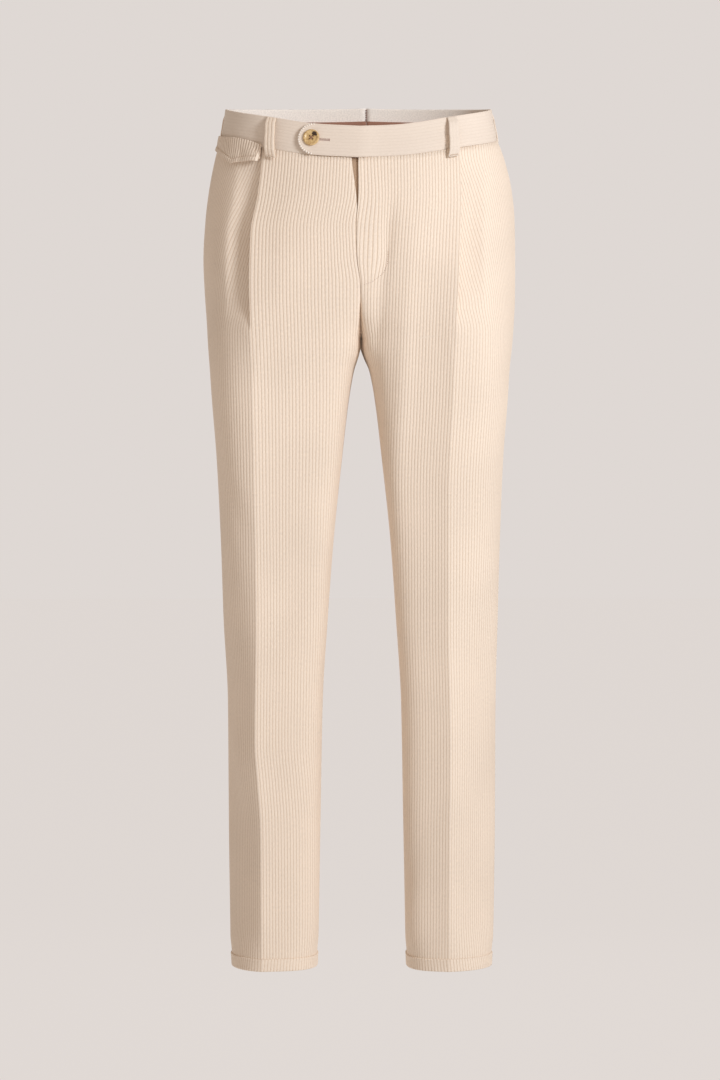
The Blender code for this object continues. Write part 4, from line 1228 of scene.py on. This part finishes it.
button_z = waist_height(BUTTON_ALONG / WAIST_HALF[RIGHT]) - RADIUS
button_across = BUTTON_ALONG - mark(RIGHT, "crease", button_z)
low, foot, high = (on_shape(RIGHT, button_across, button_z + step, 0.0) for step in (-15, 0, 15))
button_facing = Vector(on_shape(RIGHT, button_across, button_z, 1.0) - foot)
up = Vector(high - low).normalized()
button_facing = (button_facing - up * button_facing.dot(up)).normalized()
button_axes = Matrix((up.cross(button_facing), up, button_facing)).transposed().to_4x4()
button_foot = Vector(foot) + button_facing * (TAB_FACE + BUTTON_STAND_OFF)
button.matrix_world = Matrix.Translation(button_foot * MM) @ button_axes
take_place(button, "button")


# Thread
#
# Twisted cotton thread in cream, white, tan, rose and brown: the row round the coin flap, the fly's curved
# row, the tacks that hold the belt loops, the whipped edges of the buttonhole and of the tab's round end,
# the row up the split at the centre back and the button's cross.


def thread(name, colour):
    """Twisted cotton thread."""
    material, tree, shader = new_finish(name, 0.6)
    shader.inputs["Sheen Weight"].default_value = 0.3
    solid = node(tree, "TexCoord").outputs["Object"]
    twist = node(tree, "TexNoise", {0: solid}, in_2=2500.0, in_3=2.0).outputs[0]
    tone = node(tree, "MapRange", {0: twist}, in_1=0.3, in_2=0.7, in_3=0.8, in_4=1.15).outputs[0]
    dyed = node(tree, "VectorMath", {3: tone}, operation="SCALE", in_0=colour).outputs[0]
    tree.links.new(dyed, shader.inputs["Base Color"])
    return material


cream_thread = thread("cream_thread", (0.80, 0.66, 0.53))
white_thread = thread("white_thread", (0.93, 0.86, 0.78))
tan_thread = thread("tan_thread", (0.50, 0.34, 0.26))
brown_thread = thread("brown_thread", (0.22, 0.09, 0.06))
rose_thread = thread("rose_thread", (0.40, 0.24, 0.20))

# A stitch's section, and along it: share of its length, width and height, as shares of its radius.
STITCH_SIDES = 6
STITCH_TURNS = np.linspace(0, 2 * math.pi, STITCH_SIDES, endpoint=False)
STITCH_SECTION = [(math.cos(turn), math.sin(turn)) for turn in STITCH_TURNS]
STITCH_PROFILE = ((0.0, 0.35, -0.8), (0.2, 0.95, 0.2), (0.5, 1.0, 0.45), (0.8, 0.95, 0.2), (1.0, 0.35, -0.8))


def sew(name, stitches, radius, material):
    """Single stitches, each from its two ends and the way that the cloth faces there, as one piece."""
    vertices, faces = [], []
    for start, end, facing in stitches:
        start, end, facing = Vector(start), Vector(end), Vector(facing).normalized()
        beside = (end - start).cross(facing).normalized()
        first = len(vertices)
        for at, width, rise in STITCH_PROFILE:
            middle = start.lerp(end, at) + facing * radius * rise
            vertices += [middle + (beside * c + facing * s) * radius * width for c, s in STITCH_SECTION]
        for ring in range(first, len(vertices) - STITCH_SIDES, STITCH_SIDES):
            for k in range(STITCH_SIDES):
                a, b = ring + k, ring + (k + 1) % STITCH_SIDES
                faces.append((a, b, b + STITCH_SIDES, a + STITCH_SIDES))
        faces.append(tuple(range(first, first + STITCH_SIDES))[::-1])
        faces.append(tuple(range(len(vertices) - STITCH_SIDES, len(vertices))))
    mesh = bpy.data.meshes.new(name)
    mesh.from_pydata([v * MM for v in vertices], [], faces)
    mesh.shade_smooth()
    mesh.materials.append(material)
    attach(add_object(name, mesh), "root")


def row_of_stitches(placed, length, gap):
    """Stitches spaced evenly along a line on the cloth. placed(extra) gives it moved out by extra."""
    points = placed(0.0)
    facings = placed(1.0) - points
    run = np.concatenate([[0], np.cumsum(np.linalg.norm(np.diff(points, axis=0), axis=1))])
    starts = np.arange(0, run[-1] - length, length + gap)

    def at(distance, values):
        return [float(np.interp(distance, run, values[:, k])) for k in range(3)]

    return [(at(s, points), at(s + length, points), at(s + length / 2, facings)) for s in starts]


def flap_line(extra):
    """The row along the flap's turned edge."""
    inset = FLAP_RIM + 0.6
    across = np.linspace(FLAP_START + inset, FLAP_STOP - 2, 60)
    whole = np.interp(across, FLAP["across"], FLAP["rise"] + FLAP["drop"])
    z, _, lift, _ = flap_at(across, 1 - inset / FLAP_SLOPE / whole)
    return on_shape(RIGHT, across, z, lift + FLAP_THICKNESS - 0.3 + extra)


sew("flap_stitching", row_of_stitches(flap_line, 2.2, 1.0), 0.28, cream_thread)

FLY_ROW = table("x z", (32.4, -166), (31.6, -180), (26.5, -192), (14.0, -202.5), (1.6, -207))


def fly_row(extra):
    """The curved row that ends the fly's facing, on the wearer's left."""
    x, z = (np.interp(np.linspace(0, 4, 25), range(5), FLY_ROW[item]) for item in ("x", "z"))
    across = x - mark(LEFT, "crease", z)
    return on_shape(LEFT, across, z, front_lift(LEFT, across, z) + 0.25 + extra)


sew("fly_stitching", row_of_stitches(fly_row, 1.7, 1.1), 0.27, tan_thread)

TACK_DOWN = 46.0
TACK_WIDTH = 9.5
TACK_STITCHES = 18
TACK_REACH = 0.9


def band_outwards(side, along, down, lift=0.0):
    """The way that the waistband faces."""
    return on_band(side, along, down, lift + 1) - on_band(side, along, down, lift)


tacks = []
for side, where, distance, lean, _, _, step_up in LOOPS:
    middle = loop_middle(side, where, distance) + lean * (LOOP_LENGTH / 2 - 2)
    lift = BAND_PROUD + LOOP_THICKNESS + 2.2 + step_up
    for share in np.linspace(-0.5, 0.5, TACK_STITCHES):
        along = middle + TACK_WIDTH * share
        foot, head = (on_band(side, along, TACK_DOWN + step, lift) for step in (TACK_REACH, -TACK_REACH))
        tacks.append((foot, head, band_outwards(side, along, TACK_DOWN, lift)))
sew("loop_tacks", tacks, 0.22, cream_thread)

BUTTONHOLE = (35.5, 48.0)
BUTTONHOLE_PITCH = 0.55
buttonhole = []
for row in (-1, 1):
    for along in np.arange(*BUTTONHOLE, BUTTONHOLE_PITCH):
        near, far = (on_band(RIGHT, along, RADIUS + row * step, TAB_FACE + 0.1) for step in (0.15, 1.25))
        buttonhole.append((near, far, band_outwards(RIGHT, along, RADIUS)))
end = BUTTONHOLE[0]
for step in np.linspace(-1.1, 1.1, 5):
    near, far = (on_band(RIGHT, along, RADIUS + step, TAB_FACE + 0.15) for along in (end, end - 1.1))
    buttonhole.append((near, far, band_outwards(RIGHT, end + 0.5, RADIUS)))
sew("buttonhole_thread", buttonhole, 0.24, rose_thread)

WHIPPING_INNER = (16.6, 0.1)
WHIPPING_OUTER = (19.5, -1.1)
whipping = []
for turn in np.linspace(-1.45, 1.45, 19):
    ends = []
    for reach, raised in (WHIPPING_INNER, WHIPPING_OUTER):
        along = TAB_REACH - RADIUS + reach * math.cos(turn)
        down = RADIUS + reach * math.sin(turn)
        lift = TAB_FACE + TAB_END_LIFT * float(ease(TAB_REACH - RADIUS, TAB_REACH, along)) + raised
        ends.append(on_band(RIGHT, along, down, lift))
    whipping.append((*ends, band_outwards(RIGHT, along, down)))
sew("tab_whipping", whipping, 0.85, white_thread)


def split_row(extra):
    """The row up the split at the centre back, seen from the front over the tab."""
    down = np.linspace(1.5, 20, 12)
    inside_face = BAND_PROUD - BAND_THICKNESS - 0.15 - extra
    over_lining = np.where(down > LINING_FROM, 2.3, 0.0)
    return on_band(RIGHT, WAIST_HALF[RIGHT] - 0.2 + 0 * down, down, inside_face - over_lining)


sew("split_stitching", row_of_stitches(split_row, 2.6, 0.3), 0.7, brown_thread)

CROSS_HEIGHT = 2.1
cross = []
for diagonal in (((-1, -1), (1, 1)), ((-1, 1), (1, -1))):
    for beside in (-0.3, 0.3):
        ends = []
        for x, y in diagonal:
            place = Vector((x * HOLE_OFFSET + beside * y, y * HOLE_OFFSET - beside * x, CROSS_HEIGHT))
            ends.append(button.matrix_world @ (place * MM) / MM)
        cross.append((*ends, button_facing))
sew("button_thread", cross, 0.38, brown_thread)


# Floor, light and camera
#
# A pale seamless studio: a soft key from the wearer's left front, a weak light over the waist, another
# behind, an even surround, and a camera straight in front at the height of the thighs.

STUDIO = (0.737, 0.687, 0.658)
SURROUND = (0.41, 0.343, 0.292)
world = bpy.data.worlds.new("studio")
bpy.context.scene.world = world
world.use_nodes = True
walls = world.node_tree.nodes["Background"]
seen = node(world.node_tree, "LightPath").outputs["Is Camera Ray"]
room = node(
    world.node_tree, "Mix", {0: seen}, data_type="RGBA", in_6=(*SURROUND, 1), in_7=(*STUDIO, 1)
).outputs[2]
world.node_tree.links.new(room, walls.inputs["Color"])

FLOOR_HEIGHT = -1.4
FLOOR_RADIUS = 40
FLOOR_GLOW = 0.958
build = bmesh.new()
bmesh.ops.create_circle(build, cap_ends=True, segments=96, radius=FLOOR_RADIUS)
floor = add_built("floor", build)
floor.location.z = FLOOR_HEIGHT
pale_floor, _, shader = new_finish("pale_floor", 1.0)
shader.inputs["Base Color"].default_value = (0.07, 0.068, 0.066, 1)
shader.inputs["Specular IOR Level"].default_value = 0.0
shader.inputs["Emission Color"].default_value = (*STUDIO, 1)
shader.inputs["Emission Strength"].default_value = FLOOR_GLOW
floor.data.materials.append(pale_floor)


def soft_light(name, place, aim, size, watts, colour):
    """A square studio light."""
    data = bpy.data.lights.new(name, "AREA")
    data.size = size
    data.energy = watts
    data.color = colour
    light = add_object(name, data)
    light.location = place
    light.rotation_euler = (Vector(aim) - Vector(place)).to_track_quat("-Z", "Y").to_euler()


soft_light("key", (1.7, -2.0, 0.5), (0, 0, -0.2), 0.7, 50, (0.87, 0.925, 1.0))
soft_light("over_waist", (0.1, -0.65, 0.9), (0, 0.05, 0), 0.5, 1.1, (1.0, 0.95, 0.9))
soft_light("behind", (0.3, 2.8, 0.3), (0, 0, -0.4), 1.4, 10, (1.0, 0.97, 0.94))

CAMERA_AWAY = 3.5
CAMERA_HEIGHT = -0.510
FRAME_HEIGHT = 1.3284
SENSOR_WIDTH = 36
camera_data = bpy.data.cameras.new("camera")
camera_data.sensor_width = SENSOR_WIDTH
camera_data.lens = SENSOR_WIDTH * CAMERA_AWAY / FRAME_HEIGHT
camera = add_object("camera", camera_data)
camera.location = (0, -CAMERA_AWAY, CAMERA_HEIGHT)
camera.rotation_euler = (math.radians(90), 0, 0)
bpy.context.scene.camera = camera
bpy.context.scene.view_settings.view_transform = "Standard"
